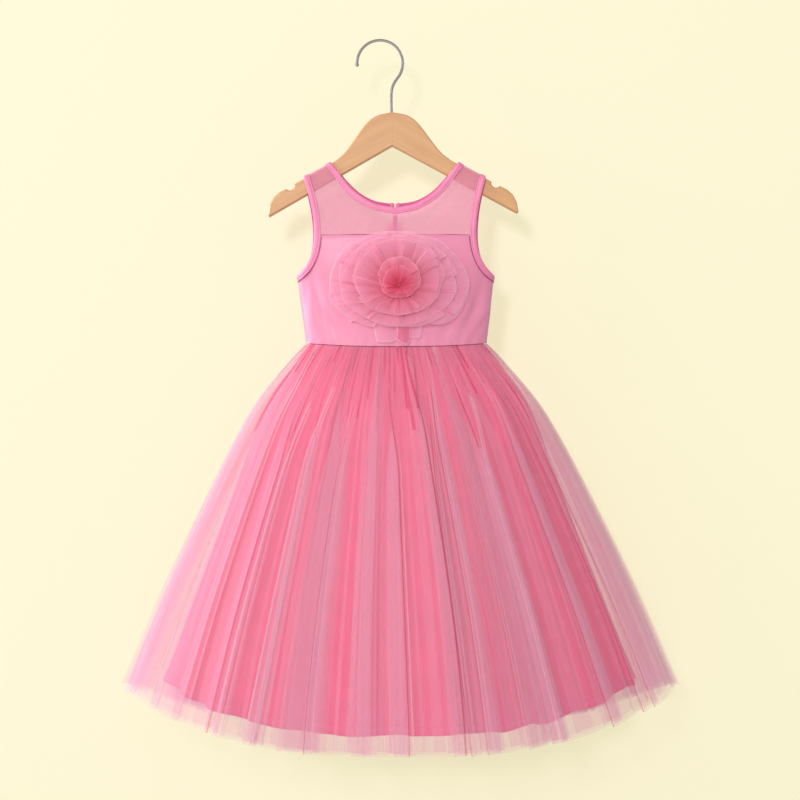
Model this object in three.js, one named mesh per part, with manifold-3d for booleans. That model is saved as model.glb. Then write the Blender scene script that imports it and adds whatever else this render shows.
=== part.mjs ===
// A toddler's party dress on a child's flat wooden hanger, in millimetres, with +Z up.
// The origin is the inside top of the hook, where a rail or a peg carries everything.
// The front faces -Y, and left and right are the wearer's, so left is +X.
import * as THREE from "three";
import { mergeVertices } from "three/addons/utils/BufferGeometryUtils.js";
import Module from "manifold-3d";

const wasm = await Module();
wasm.setup();

// Driving sizes
const SEAM = 0.3; // gap between two pieces at a seam
const DRESS_X = 17.5; // centre line of the dress at the shoulders, beside the top of the hook
const DRESS_LEAN = 0.0105; // how far the dress drifts to +X for each millimetre down
const BOARD = { x: 15, pivotZ: -145, tiltDeg: 0.8 }; // the board hangs a little lower on one side
const SATIN_WALL = 1.6;
const NET_WALL = 1.0;
const TULLE_WALL = 1.2;
const LINING_WALL = 1.2;
const BINDING_WALL = 2.2;
const BINDING_WIDTH = 7;

// The hanger: a flat board with a notch near each tip, and a bent wire hook
const BOARD_DEPTH = 12;
const BOARD_BEVEL = 1.4;
const BOARD_SHOULDER = { x: 72, z: -145.2, slope: -0.538 }; // the straight stretch that carries the dress
const BOARD_UPPER = [
  { x: 0, z: -85.4 },
  { x: 17, z: -88.6 },
  { x: 28, z: -95.6 },
  { x: 37, z: -106 },
  { x: 47.5, z: -120.5 },
  { x: 58.5, z: -134.6 },
];
const BOARD_TIP = [
  { x: 136.5, z: -179.7 },
  { x: 143.6, z: -186 },
  { x: 148, z: -194.8 },
  { x: 150.2, z: -206.5 },
];
const BOARD_LOWER = { tipX: 148.6, tipZ: -208.6, apexZ: -125.8 };
const NOTCH = { x: 123.6, radius: 5.6, lift: 1.2 };
const WIRE_DIAMETER = 3.4;
const CROOK_RADIUS = 27.5; // of the wire's centreline
const CROOK_DEG = { tip: 184, neck: -10, step: 13 }; // the arc from the free tip to the neck
const NECK = [
  { x: 25, z: -37.6 },
  { x: 20.8, z: -44 },
  { x: 16.6, z: -50.4 },
  { x: 14.2, z: -57 },
  { x: 13.6, z: -65 },
  { x: 13.9, z: -84 },
  { x: 14.2, z: -102 },
]; // the wire's centreline from the crook down into the board
const TIP_BALL = 2.5;

// The body of the dress: half-width of its flat oval and how far it stands from the hanger's middle plane.
// Above the underarm the oval is wider than the cloth, which the armholes cut back.
const OVAL_POWER = 2.6;
const BODY = [
  { z: -130, half: 226, front: 9.0, back: 9.0 },
  { z: -165, half: 205, front: 10.2, back: 9.8 },
  { z: -190, half: 180, front: 14.0, back: 12.0 },
  { z: -212, half: 151, front: 18.6, back: 14.7 },
  { z: -234, half: 130, front: 23.0, back: 17.6 },
  { z: -262, half: 120.4, front: 28.0, back: 21.0 },
  { z: -281, half: 117.8, front: 30.0, back: 22.4 },
  { z: -324, half: 112.6, front: 31.0, back: 23.8 },
  { z: -372, half: 106.9, front: 30.0, back: 24.6 },
];
const SHOULDER_LIFT = 2.3; // the cloth's middle above the board's top edge
const SHOULDER_ROLL = 9; // height over which the cloth turns over the board
const YOKE_SEAM_Z = -234;
const UNDERARM = { x: 117.8, z: -280.5 };
const WAIST = { side: -361.7, sag: 4.5, drop: 0.8 }; // drop: how far below the seam a skirt starts

// Finished edges, from the centre or the shoulder outwards
const SHOULDER_NECK_X = 76.3;
const SHOULDER_ARM_X = 109.3;
const NECKLINE = {
  front: [
    { x: 0, z: -200.6 },
    { x: 20.4, z: -196.8 },
    { x: 32.6, z: -191.4 },
    { x: 44.8, z: -183.4 },
    { x: 56.8, z: -171.4 },
    { x: 67, z: -157.5 },
  ],
  back: [
    { x: 0, z: -193.6 },
    { x: 20.4, z: -190.9 },
    { x: 34, z: -185.6 },
    { x: 46, z: -177.6 },
    { x: 57.4, z: -166.2 },
    { x: 67, z: -155 },
  ],
};
const ARMHOLE = {
  front: [
    { x: 103.8, z: -182.6 },
    { x: 99, z: -204 },
    { x: 96.7, z: -225 },
    { x: 97.3, z: -242 },
    { x: 101, z: -258 },
    { x: 108, z: -271 },
  ],
  back: [
    { x: 105.4, z: -182.6 },
    { x: 101.4, z: -204 },
    { x: 99.4, z: -225 },
    { x: 99.8, z: -242 },
    { x: 103, z: -258 },
    { x: 109, z: -271 },
  ],
};

// How a fold runs across its own width, and how far it stands out at each place
const GATHER = [
  { at: 0.25, out: 1 },
  { at: 0.75, out: -1 },
]; // one fine gather: a ridge and a valley
const SOFT_FOLD = [
  { at: 0.08, out: 1 },
  { at: 0.42, out: 1 },
  { at: 0.6, out: -1 },
  { at: 0.9, out: -1 },
]; // one soft fold: flat ridge, flank, flat valley, flank

// The skirts, ring by ring from the waist: share of the length down the cloth, reach to each side,
// to the front and to the back, and the height of the gathers
const TULLE = {
  wall: TULLE_WALL,
  fold: GATHER,
  pleats: 40,
  length: { side: 467, front: 482, back: 470 },
  rings: [
    { down: 0, side: 108.2, front: 31.4, back: 25.8, fold: 1 },
    { down: 0.055, side: 125, front: 38.8, back: 29.2, fold: 1.9 },
    { down: 0.19, side: 163.5, front: 55, back: 35, fold: 3.6 },
    { down: 0.3, side: 189.5, front: 66.5, back: 38, fold: 4.8 },
    { down: 0.48, side: 227.5, front: 84.5, back: 42, fold: 6 },
    { down: 0.72, side: 275, front: 108.5, back: 46.5, fold: 7.2 },
    { down: 1, side: 325.5, front: 132, back: 50, fold: 8.2 },
  ],
};
const LINING = {
  wall: LINING_WALL,
  fold: SOFT_FOLD,
  pleats: 10,
  length: { side: 443, front: 456, back: 446 },
  rings: [
    { down: 0, side: 103.6, front: 26.4, back: 20.6, fold: 0.6 },
    { down: 0.06, side: 117, front: 31, back: 22, fold: 1 },
    { down: 0.2, side: 152, front: 43, back: 24, fold: 2 },
    { down: 0.52, side: 202, front: 64, back: 26.5, fold: 3.2 },
    { down: 1, side: 281, front: 96, back: 30, fold: 4.6 },
  ],
};
// The rosette: rings of gathered tulle on the front, each sewn at its inner edge and free at its outer edge
const ROSETTE = { x: 3, z: -296, wall: 1.0 };
// each row: half-widths of the ring's two edges, how far they stand off the bodice, and how much higher
// the free edge is centred than the sewn one
const RUFFLES = [
  {
    name: "ruffle_outer",
    waves: 16,
    wave: 1.6,
    sewn: { rx: 55, rz: 43, out: 1.7 },
    free: { rx: 84, rz: 63, out: 6, up: 3 },
  },
  {
    name: "ruffle_third",
    waves: 14,
    wave: 1.8,
    sewn: { rx: 37, rz: 30, out: 1.7 },
    free: { rx: 68, rz: 54, out: 10.8, up: 6 },
  },
  {
    name: "ruffle_second",
    waves: 12,
    wave: 2,
    sewn: { rx: 20, rz: 18, out: 1.7 },
    free: { rx: 52, rz: 45, out: 14.2, up: 11 },
  },
  {
    name: "ruffle_inner",
    waves: 8,
    wave: 2.2,
    sewn: { rx: 8, rz: 8, out: 1.9 },
    free: { rx: 24, rz: 22, out: 17, up: 8 },
  },
];
const BUD = { turns: 2.25, from: 1.6, to: 6.2, foot: 1.15, top: 14, wall: 0.8, steps: 36 };

// The concealed zip at the centre of the back
const ZIP_GAP = 1.6; // between the two back edges
const ZIP_TAPE = { width: 18, wall: 0.8, topZ: -216.5, steps: 8 };
const SLIDER = { z: -210.5, wide: 5, high: 8, deep: 2, plate: 1.0, lobe: 3.1, windowSide: 2.3 };
const PULL = { long: 17, wide: 4.4, thick: 1.0, eyeWide: 2.0, eyeLong: 3.9, standOff: 2.8, tiltDeg: 9 };

const COLOURS = {
  satin: "#f48fb8",
  net: "#eda0c0",
  tulle: "#f07ba4",
  lining: "#ee6f9b",
  binding: "#f286ae",
  rosette: "#f58fae",
  wood: "#dfb07c",
  wire: "#b9b7bc",
  tape: "#e98aae",
  pull: "#e58cae",
};

// A smooth curve through a table's rows, as a function of one of its columns
function readTable(table, column, key) {
  const rows = [...table].sort((a, b) => a[key] - b[key]);
  const slope = rows.map((row, i) => {
    const before = rows[Math.max(i - 1, 0)];
    const after = rows[Math.min(i + 1, rows.length - 1)];
    return (after[column] - before[column]) / (after[key] - before[key]);
  });
  return (value) => {
    let i = rows.findIndex((row) => row[key] > value) - 1;
    if (i < 0) i = value <= rows[0][key] ? 0 : rows.length - 2;
    const span = rows[i + 1][key] - rows[i][key];
    const t = THREE.MathUtils.clamp((value - rows[i][key]) / span, 0, 1);
    const startWeight = (1 + 2 * t) * (1 - t) ** 2;
    const endWeight = t * t * (3 - 2 * t);
    const bend = t * (1 - t) * span * ((1 - t) * slope[i] - t * slope[i + 1]);
    return startWeight * rows[i][column] + endWeight * rows[i + 1][column] + bend;
  };
}

// A closed wall from two grids of points, outer and inner. With loop, each row closes on itself.
function wallBetween(outer, inner, loop = false) {
  const rows = outer.length;
  const columns = outer[0].length;
  const position = [...outer.flat(), ...inner.flat()].flatMap((p) => [p.x, p.y, p.z]);
  const index = [];
  const at = (side, r, c) => side * rows * columns + r * columns + (c % columns);
  const quad = (a, b, c, d) => index.push(a, b, c, a, c, d);
  const lastColumn = loop ? columns : columns - 1;
  for (let r = 0; r < rows - 1; r++) {
    for (let c = 0; c < lastColumn; c++) {
      quad(at(0, r, c), at(0, r + 1, c), at(0, r + 1, c + 1), at(0, r, c + 1));
      quad(at(1, r, c), at(1, r, c + 1), at(1, r + 1, c + 1), at(1, r + 1, c));
    }
  }
  for (let c = 0; c < lastColumn; c++) {
    const last = rows - 1;
    quad(at(0, 0, c), at(0, 0, c + 1), at(1, 0, c + 1), at(1, 0, c));
    quad(at(0, last, c), at(1, last, c), at(1, last, c + 1), at(0, last, c + 1));
  }
  if (!loop) {
    const last = columns - 1;
    for (let r = 0; r < rows - 1; r++) {
      quad(at(0, r, 0), at(1, r, 0), at(1, r + 1, 0), at(0, r + 1, 0));
      quad(at(0, r, last), at(0, r + 1, last), at(1, r + 1, last), at(1, r, last));
    }
  }
  const geometry = new THREE.BufferGeometry();
  geometry.setAttribute("position", new THREE.Float32BufferAttribute(position, 3));
  geometry.setIndex(index);
  return facingOut(geometry);
}

// Turns every face round if the solid is inside out
function facingOut(geometry) {
  const p = geometry.getAttribute("position");
  const index = geometry.index.array;
  const [a, b, c] = [new THREE.Vector3(), new THREE.Vector3(), new THREE.Vector3()];
  let volume = 0;
  for (let i = 0; i < index.length; i += 3) {
    a.fromBufferAttribute(p, index[i]);
    b.fromBufferAttribute(p, index[i + 1]);
    c.fromBufferAttribute(p, index[i + 2]);
    volume += a.dot(b.cross(c));
  }
  if (volume < 0) {
    for (let i = 0; i < index.length; i += 3) {
      [index[i + 1], index[i + 2]] = [index[i + 2], index[i + 1]];
    }
  }
  return geometry;
}

// How much further a point moves at a sharp fold, so that the wall keeps its thickness on both flanks
const MITRE_LIMIT = 0.5;

// A cloth wall on both sides of a grid of points, each moved half the thickness along the cloth's normal.
// keep is called on every wall point, to hold it on its own side of a seam.
function clothWall(grid, thickness, { loop = false, keep = (p) => p } = {}) {
  const rows = grid.length;
  const columns = grid[0].length;
  const pick = (r, c) => grid[r][loop ? (c + columns) % columns : THREE.MathUtils.clamp(c, 0, columns - 1)];
  const moved = (sign) =>
    grid.map((row, r) =>
      row.map((point, c) => {
        const below = pick(Math.min(r + 1, rows - 1), c);
        const above = pick(Math.max(r - 1, 0), c);
        const down = new THREE.Vector3().subVectors(below, above);
        const across = new THREE.Vector3().subVectors(pick(r, c + 1), pick(r, c - 1)).normalize();
        const flank = new THREE.Vector3().subVectors(pick(r, c + 1), point).normalize();
        const normal = down.cross(across).normalize();
        const mitre = flank.lengthSq() > 0 ? Math.max(flank.dot(across), MITRE_LIMIT) : 1;
        return keep(point.clone().addScaledVector(normal, (sign * thickness) / 2 / mitre));
      }),
    );
  return wallBetween(moved(1), moved(-1), loop);
}

function solidOf(geometry) {
  const bare = geometry.index ? geometry.toNonIndexed() : geometry.clone();
  bare.deleteAttribute("normal");
  bare.deleteAttribute("uv");
  const merged = mergeVertices(bare, 1e-4);
  const triVerts = new Uint32Array(merged.index.array);
  return new wasm.Manifold(
    new wasm.Mesh({ numProp: 3, vertProperties: merged.attributes.position.array, triVerts }),
  );
}

function geometryOf(solid) {
  const mesh = solid.getMesh();
  const geometry = new THREE.BufferGeometry();
  geometry.setAttribute("position", new THREE.BufferAttribute(new Float32Array(mesh.vertProperties), 3));
  geometry.setIndex(new THREE.BufferAttribute(new Uint32Array(mesh.triVerts), 1));
  return geometry;
}

// Shape of the dress's body
const ovalHalf = readTable(BODY, "half", "z");
const ovalDepth = { front: readTable(BODY, "front", "z"), back: readTable(BODY, "back", "z") };
const SIDES = { front: -1, back: 1 }; // the direction of each side along Y
const boardTop = (x) => BOARD_SHOULDER.z + BOARD_SHOULDER.slope * (Math.abs(x) - BOARD_SHOULDER.x);
const shoulderZ = (x) => boardTop(x) + SHOULDER_LIFT;

// How full the oval is at x, from 1 at the centre line to 0 at the side seam
function ovalShare(x, z) {
  return Math.sqrt(Math.max(0, 1 - Math.abs(x / ovalHalf(z)) ** OVAL_POWER));
}

// The cloth's middle at x and z, on one side of the dress
function onBody(side, x, z) {
  const left = THREE.MathUtils.clamp(1 - (shoulderZ(x) - z) / SHOULDER_ROLL, 0, 1);
  const roll = (1 - left ** 4) ** 0.25;
  return new THREE.Vector3(x, SIDES[side] * ovalDepth[side](z) * ovalShare(x, z) * roll, z);
}

function waistZ(x) {
  return WAIST.side - WAIST.sag * ovalShare(x, WAIST.side) ** 2;
}

// A point that stands off the front by out, on the cloth's normal
function offFront(x, z, out) {
  const step = 0.5;
  const here = onBody("front", x, z);
  const across = onBody("front", x + step, z).sub(onBody("front", x - step, z));
  const up = onBody("front", x, z + step).sub(onBody("front", x, z - step));
  return here.addScaledVector(across.cross(up).normalize(), out);
}

// Keeps a wall point on its own side of the side and shoulder seams
const ownSide = (side) => (p) => {
  p.y = SIDES[side] * Math.max(SIDES[side] * p.y, SEAM / 2);
  return p;
};

// Finished edges as lists of x and z on one half of the dress, thickest near the shoulder and the underarm
function edgeLine(rows, ends, steps) {
  const points = [...(ends.first ? [ends.first] : []), ...rows, ...(ends.last ? [ends.last] : [])];
  const curve = new THREE.SplineCurve(points.map((p) => new THREE.Vector2(p.x, p.z)));
  return Array.from({ length: steps + 1 }, (_, i) => curve.getPoint(ends.spread(i / steps)));
}

const towardsEnd = (t) => Math.sin((t * Math.PI) / 2);
const towardsBoth = (t) => (1 - Math.cos(t * Math.PI)) / 2;
const necklineOf = (side) =>
  edgeLine(
    NECKLINE[side],
    { last: { x: SHOULDER_NECK_X, z: shoulderZ(SHOULDER_NECK_X) }, spread: towardsEnd },
    13,
  );
const armholeOf = (side) =>
  edgeLine(
    ARMHOLE[side],
    { first: { x: SHOULDER_ARM_X, z: shoulderZ(SHOULDER_ARM_X) }, last: UNDERARM, spread: towardsBoth },
    16,
  );

// The same edge moved into the cloth by a distance. At the shoulder the move runs along the shoulder seam,
// and at the underarm it runs straight down the side seam.
function movedIn(line, distance, { side, turn }) {
  const along = new THREE.Vector2(1, BOARD_SHOULDER.slope).normalize().multiplyScalar(turn);
  const straightDown = new THREE.Vector2(0, -1);
  return line.map((point, i) => {
    const before = line[Math.max(i - 1, 0)];
    const after = line[Math.min(i + 1, line.length - 1)];
    const tangent = after.clone().sub(before).normalize();
    const inward = new THREE.Vector2(tangent.y, -tangent.x);
    const fromShoulder = (shoulderZ(point.x) - point.y) / (1.5 * SHOULDER_ROLL);
    inward.lerp(along, 1 - THREE.MathUtils.smoothstep(fromShoulder, 0, 1));
    if (turn < 0) {
      const depth = Math.abs(onBody(side, point.x, point.y).y);
      const fromUnderarm = point.y < YOKE_SEAM_Z ? depth / (0.5 * ovalDepth[side](point.y)) : 1;
      inward.lerp(straightDown, 1 - THREE.MathUtils.smoothstep(fromUnderarm, 0, 1));
    }
    const moved = point.clone().addScaledVector(inward.normalize(), distance);
    if (point.y <= UNDERARM.z + 1e-6) moved.x = ovalHalf(moved.y);
    return moved;
  });
}

const CLEAR_WIDTH = BINDING_WIDTH + 1.5 * SEAM;
const armholeSeam = {};
const necklineSeam = {};
for (const side of ["front", "back"]) {
  armholeSeam[side] = movedIn(armholeOf(side), CLEAR_WIDTH, { side, turn: -1 });
  necklineSeam[side] = movedIn(necklineOf(side), CLEAR_WIDTH, { side, turn: 1 });
}

// Half-width of a panel at height z: the armhole's seam line above the underarm, and the side seam below it
function panelHalf(side, z) {
  const line = armholeSeam[side];
  if (z <= line.at(-1).y) return ovalHalf(z);
  for (let i = 1; i < line.length; i++) {
    if (line[i].y <= z) {
      const t = (z - line[i - 1].y) / (line[i].y - line[i - 1].y);
      return THREE.MathUtils.lerp(line[i - 1].x, line[i].x, Math.max(t, 0));
    }
  }
  return line.at(-1).x;
}

// Height of the yoke's top at a share of its half-width: the neckline's seam, or else the shoulder seam
function yokeTop(side, share) {
  const line = necklineSeam[side];
  const shares = line.map((p) => p.x / panelHalf(side, p.y));
  for (let i = 1; i < line.length; i++) {
    if (shares[i] >= share) {
      const t = (share - shares[i - 1]) / (shares[i] - shares[i - 1]);
      return THREE.MathUtils.lerp(line[i - 1].y, line[i].y, Math.max(t, 0));
    }
  }
  let z = line.at(-1).y;
  for (let i = 0; i < 8; i++) z = shoulderZ(share * panelHalf(side, z));
  return z;
}

// Shares of the half-width for a panel's columns, from the left edge or the centre to the other edge
const mirrored = (shares) => [...shares.slice(1).reverse().map((s) => -s), ...shares];
const BODICE_SHARES = [0, 0.16, 0.32, 0.48, 0.64, 0.78, 0.89, 0.965, 1];
const BODICE_LOWER = [0.25, 0.5, 0.75, 1]; // rows between the underarm and the waist

// The columns of a yoke follow the neckline's points and then cross the shoulder
function yokeShares(side) {
  const shares = necklineSeam[side].map((p) => p.x / panelHalf(side, p.y));
  return [...shares, (1 + shares.at(-1)) / 2, 1];
}

// The rows of a yoke follow the armhole's points, as shares of its height at the armhole
function yokeRows(side) {
  const bottom = YOKE_SEAM_Z + SEAM / 2;
  const heights = armholeSeam[side].map((p) => p.y).filter((z) => z > bottom + 3);
  return [...heights, bottom].map((z) => (heights[0] - z) / (heights[0] - bottom));
}

function yoke(side, shares, centreGap = 0) {
  const grid = yokeRows(side).map((down) =>
    shares.map((share) => {
      const top = yokeTop(side, Math.abs(share));
      const z = THREE.MathUtils.lerp(top, YOKE_SEAM_Z + SEAM / 2, down);
      const x = share * panelHalf(side, z) || centreGap;
      return onBody(side, x, z);
    }),
  );
  return clothWall(grid, NET_WALL, { keep: ownSide(side) });
}

function bodice(side, shares, centreGap = 0) {
  const seamZ = YOKE_SEAM_Z - SEAM / 2;
  const armhole = armholeSeam[side].map((p) => p.y).filter((z) => z < seamZ - 2);
  const lower = BODICE_LOWER.map((t) => THREE.MathUtils.lerp(armhole.at(-1), WAIST.side, t));
  const rows = [seamZ, ...armhole, ...lower];
  const grid = rows.map((row) =>
    shares.map((share) => {
      const x = share * panelHalf(side, row);
      const down = (row - seamZ) / (WAIST.side - seamZ);
      const z = row + down ** 3 * (waistZ(x) - WAIST.side);
      return onBody(side, x || centreGap, z);
    }),
  );
  return clothWall(grid, SATIN_WALL, { keep: ownSide(side) });
}

// A binding is a band on the cloth's own surface, from the finished edge to its seam line
function band(lines) {
  const grid = lines.flatMap(({ side, line, seam, sign }) =>
    line.map((point, i) =>
      [0, 0.5, 1].map((t) => {
        const p = point.clone().lerp(seam[i], t);
        const q = onBody(side, Math.min(p.x, ovalHalf(p.y)), p.y);
        q.x *= sign;
        return q;
      }),
    ),
  );
  const first = grid[0];
  const last = grid.at(-1);
  const closed = first.every((p, i) => p.distanceTo(last[i]) < 1e-6);
  const rows = closed ? grid.slice(0, -1) : grid;
  const apart = rows.filter((row, i) => i === 0 || row[0].distanceTo(rows[i - 1][0]) > 1e-6);
  if (!closed) return clothWall(apart, BINDING_WALL);
  return clothWall(transposed(apart), BINDING_WALL, { loop: true });
}

const transposed = (grid) => grid[0].map((_, c) => grid.map((row) => row[c]));

function armholeBinding(sign) {
  const front = armholeOf("front");
  const back = armholeOf("back");
  const seam = {
    front: movedIn(front, BINDING_WIDTH, { side: "front", turn: -1 }),
    back: movedIn(back, BINDING_WIDTH, { side: "back", turn: -1 }),
  };
  return band([
    { side: "front", line: front, seam: seam.front, sign },
    { side: "back", line: back.toReversed(), seam: seam.back.toReversed(), sign },
  ]);
}

function neckBinding() {
  const lines = {};
  for (const side of ["front", "back"]) {
    const line = necklineOf(side);
    lines[side] = { side, line, seam: movedIn(line, BINDING_WIDTH, { side, turn: 1 }) };
  }
  const reversed = (side) => ({
    side,
    line: lines[side].line.toReversed(),
    seam: lines[side].seam.toReversed(),
  });
  for (const part of ["line", "seam"]) lines.back[part][0].x = ZIP_GAP / 2;
  return band([
    { ...lines.back, sign: -1 },
    { ...reversed("front"), sign: -1 },
    { ...lines.front, sign: 1 },
    { ...reversed("back"), sign: 1 },
  ]);
}

// Uneven widths of the pleats, as shares of the half-ring where each begins
function pleatStarts(count) {
  const widthOf = (i) => 1 + 0.26 * Math.sin(2.4 * i + 0.6) + 0.14 * Math.sin(5.3 * i);
  const widths = Array.from({ length: count }, (_, i) => widthOf(i));
  const total = widths.reduce((sum, w) => sum + w, 0);
  const starts = [0];
  for (const w of widths) starts.push(starts.at(-1) + w / total);
  return starts;
}

// Heights of the rings below the waist, from the length of cloth between them
function ringHeights(skirt, reach) {
  const heights = [0];
  skirt.rings.slice(1).forEach((ring, i) => {
    const before = skirt.rings[i];
    const cloth = (ring.down - before.down) * skirt.length[reach];
    heights.push(heights[i] - Math.sqrt(cloth ** 2 - (ring[reach] - before[reach]) ** 2));
  });
  return heights;
}

// One half of a gathered skirt: each ring is half a flat oval, with its pleats spread evenly along it
function skirtPanel(skirt, side) {
  const starts = pleatStarts(skirt.pleats);
  const samples = [{ at: 0, out: 0 }];
  for (let i = 0; i < skirt.pleats; i++) {
    const strength = 1 + 0.3 * Math.sin(3.7 * i + 1);
    for (const { at, out } of skirt.fold) {
      samples.push({ at: THREE.MathUtils.lerp(starts[i], starts[i + 1], at), out: out * strength });
    }
  }
  samples.push({ at: 1, out: 0 });
  const heights = { side: ringHeights(skirt, "side"), deep: ringHeights(skirt, side) };
  const grid = skirt.rings.map((ring, r) => {
    const line = halfOval(ring.side, SIDES[side] * ring[side]);
    return samples.map(({ at, out }) => {
      const { point, normal } = line(at);
      const full = (point.y / ring[side]) ** 2;
      const atSide = WAIST.side + heights.side[r];
      const atMiddle = WAIST.side - WAIST.sag + heights.deep[r];
      const z = THREE.MathUtils.lerp(atSide, atMiddle, full);
      const fold = out * ring.fold;
      return new THREE.Vector3(point.x + normal.x * fold, point.y + normal.y * fold, z - WAIST.drop);
    });
  });
  return clothWall(grid, skirt.wall, { keep: ownSide(side) });
}

// Half a flat oval in plan, as a function of the share of its length that gives a point and the way out
function halfOval(half, depth) {
  const count = 240;
  const points = Array.from({ length: count + 1 }, (_, i) => {
    const angle = (Math.PI * i) / count;
    const c = Math.cos(angle);
    return new THREE.Vector2(half * Math.sign(c) * Math.abs(c) ** (2 / OVAL_POWER), depth * Math.sin(angle));
  });
  const reached = [0];
  for (let i = 1; i <= count; i++) reached.push(reached[i - 1] + points[i].distanceTo(points[i - 1]));
  return (share) => {
    const wanted = share * reached[count];
    let i = 1;
    while (i < count && reached[i] < wanted) i++;
    const t = (wanted - reached[i - 1]) / (reached[i] - reached[i - 1]);
    const tangent = points[Math.min(i + 1, count)].clone().sub(points[Math.max(i - 2, 0)]).normalize();
    const normal = new THREE.Vector2(tangent.y, -tangent.x);
    const point = points[i - 1].clone().lerp(points[i], t);
    if (normal.dot(point) < 0) normal.negate();
    return { point, normal };
  };
}

// A ring of gathered tulle that stands off the front more towards its free edge
function ruffle({ waves, sewn, free, wave }, number) {
  const columns = waves * SOFT_FOLD.length;
  const grid = [0, 0.5, 1].map((t) =>
    Array.from({ length: columns }, (_, i) => {
      const { at, out } = SOFT_FOLD[i % SOFT_FOLD.length];
      const angle = (2 * Math.PI * (Math.floor(i / SOFT_FOLD.length) + at)) / waves + number;
      const rx = THREE.MathUtils.lerp(sewn.rx, free.rx, t);
      const rz = THREE.MathUtils.lerp(sewn.rz, free.rz, t);
      const height = THREE.MathUtils.lerp(sewn.out, free.out, t) + out * wave * t;
      const centreZ = ROSETTE.z + free.up * t;
      return offFront(ROSETTE.x + rx * Math.cos(angle), centreZ + rz * Math.sin(angle), height);
    }),
  );
  return clothWall(grid, ROSETTE.wall, { loop: true });
}

// The rolled strip at the middle of the rosette
function bud() {
  const grid = [BUD.foot, (BUD.foot + BUD.top) / 2, BUD.top].map((height, row) =>
    Array.from({ length: BUD.steps + 1 }, (_, i) => {
      const t = i / BUD.steps;
      const radius = THREE.MathUtils.lerp(BUD.from, BUD.to, t) * (row === 2 ? 1.08 : 1);
      const angle = 2 * Math.PI * BUD.turns * t;
      const lower = row === 2 ? 3 * t : 0;
      const x = ROSETTE.x + radius * Math.cos(angle);
      const z = ROSETTE.z + radius * Math.sin(angle);
      return offFront(x, z, height - lower);
    }),
  );
  return clothWall(grid, BUD.wall);
}

function zipTape() {
  const inside = SATIN_WALL / 2 + SEAM + ZIP_TAPE.wall / 2;
  const bottom = waistZ(0);
  const grid = Array.from({ length: ZIP_TAPE.steps + 1 }, (_, r) =>
    [-0.5, 0, 0.5].map((share) => {
      const x = share * ZIP_TAPE.width;
      const point = onBody("back", x, THREE.MathUtils.lerp(ZIP_TAPE.topZ, bottom, r / ZIP_TAPE.steps));
      point.y -= inside;
      return point;
    }),
  );
  return clothWall(grid, ZIP_TAPE.wall);
}

const backY = onBody("back", 0, SLIDER.z).y;
const HINGE = { y: backY + PULL.standOff, z: SLIDER.z };

function rectangle(x0, x1, y0, y1, Kind = THREE.Shape) {
  const path = new Kind();
  path.moveTo(x0, y0);
  path.lineTo(x1, y0);
  path.lineTo(x1, y1);
  path.lineTo(x0, y1);
  path.closePath();
  return path;
}

// Extrudes a shape and centres it on its own thickness
function plateOf(shape, thickness, options = {}) {
  const plate = new THREE.ExtrudeGeometry(shape, { depth: thickness, bevelEnabled: false, ...options });
  plate.translate(0, 0, -thickness / 2);
  return plate;
}

// The slider's body is inside the dress, and a thin plate with a window stands out between
// the two back edges
function slider() {
  const bodyY = backY - NET_WALL / 2 - 2 * SEAM - SLIDER.deep / 2;
  const body = new THREE.BoxGeometry(SLIDER.wide, SLIDER.deep, SLIDER.high);
  body.translate(0, bodyY, SLIDER.z);
  const root = bodyY - HINGE.y;
  const outline = new THREE.Shape();
  outline.moveTo(root, -SLIDER.lobe);
  outline.lineTo(0, -SLIDER.lobe);
  outline.absarc(0, 0, SLIDER.lobe, -Math.PI / 2, Math.PI / 2, false);
  outline.lineTo(root, SLIDER.lobe);
  outline.closePath();
  const half = SLIDER.windowSide / 2;
  outline.holes.push(rectangle(-half, half, -half, half, THREE.Path));
  const plate = plateOf(outline, SLIDER.plate, { curveSegments: 6 });
  const outwards = new THREE.Vector3(0, 1, 0);
  const up = new THREE.Vector3(0, 0, 1);
  const across = new THREE.Vector3(1, 0, 0);
  plate.applyMatrix4(new THREE.Matrix4().makeBasis(outwards, up, across));
  plate.translate(0, HINGE.y, HINGE.z);
  return geometryOf(solidOf(body).add(solidOf(plate)));
}

// The pull tab: a bar through the slider's window, an eye on both sides of the plate, and a rounded tab
function pullTab() {
  const half = PULL.wide / 2;
  const top = PULL.thick / 2;
  const outline = new THREE.Shape();
  outline.moveTo(-half, top);
  outline.lineTo(-half, half - PULL.long);
  outline.absarc(0, half - PULL.long, half, Math.PI, 2 * Math.PI, false);
  outline.lineTo(half, top);
  outline.closePath();
  const eyeHalf = PULL.eyeWide / 2;
  outline.holes.push(rectangle(-eyeHalf, eyeHalf, -top - PULL.eyeLong, -top, THREE.Path));
  const tab = plateOf(outline, PULL.thick, { curveSegments: 6 });
  tab.rotateX(Math.PI / 2 + THREE.MathUtils.degToRad(PULL.tiltDeg));
  tab.translate(0, HINGE.y, HINGE.z);
  return tab;
}

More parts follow.
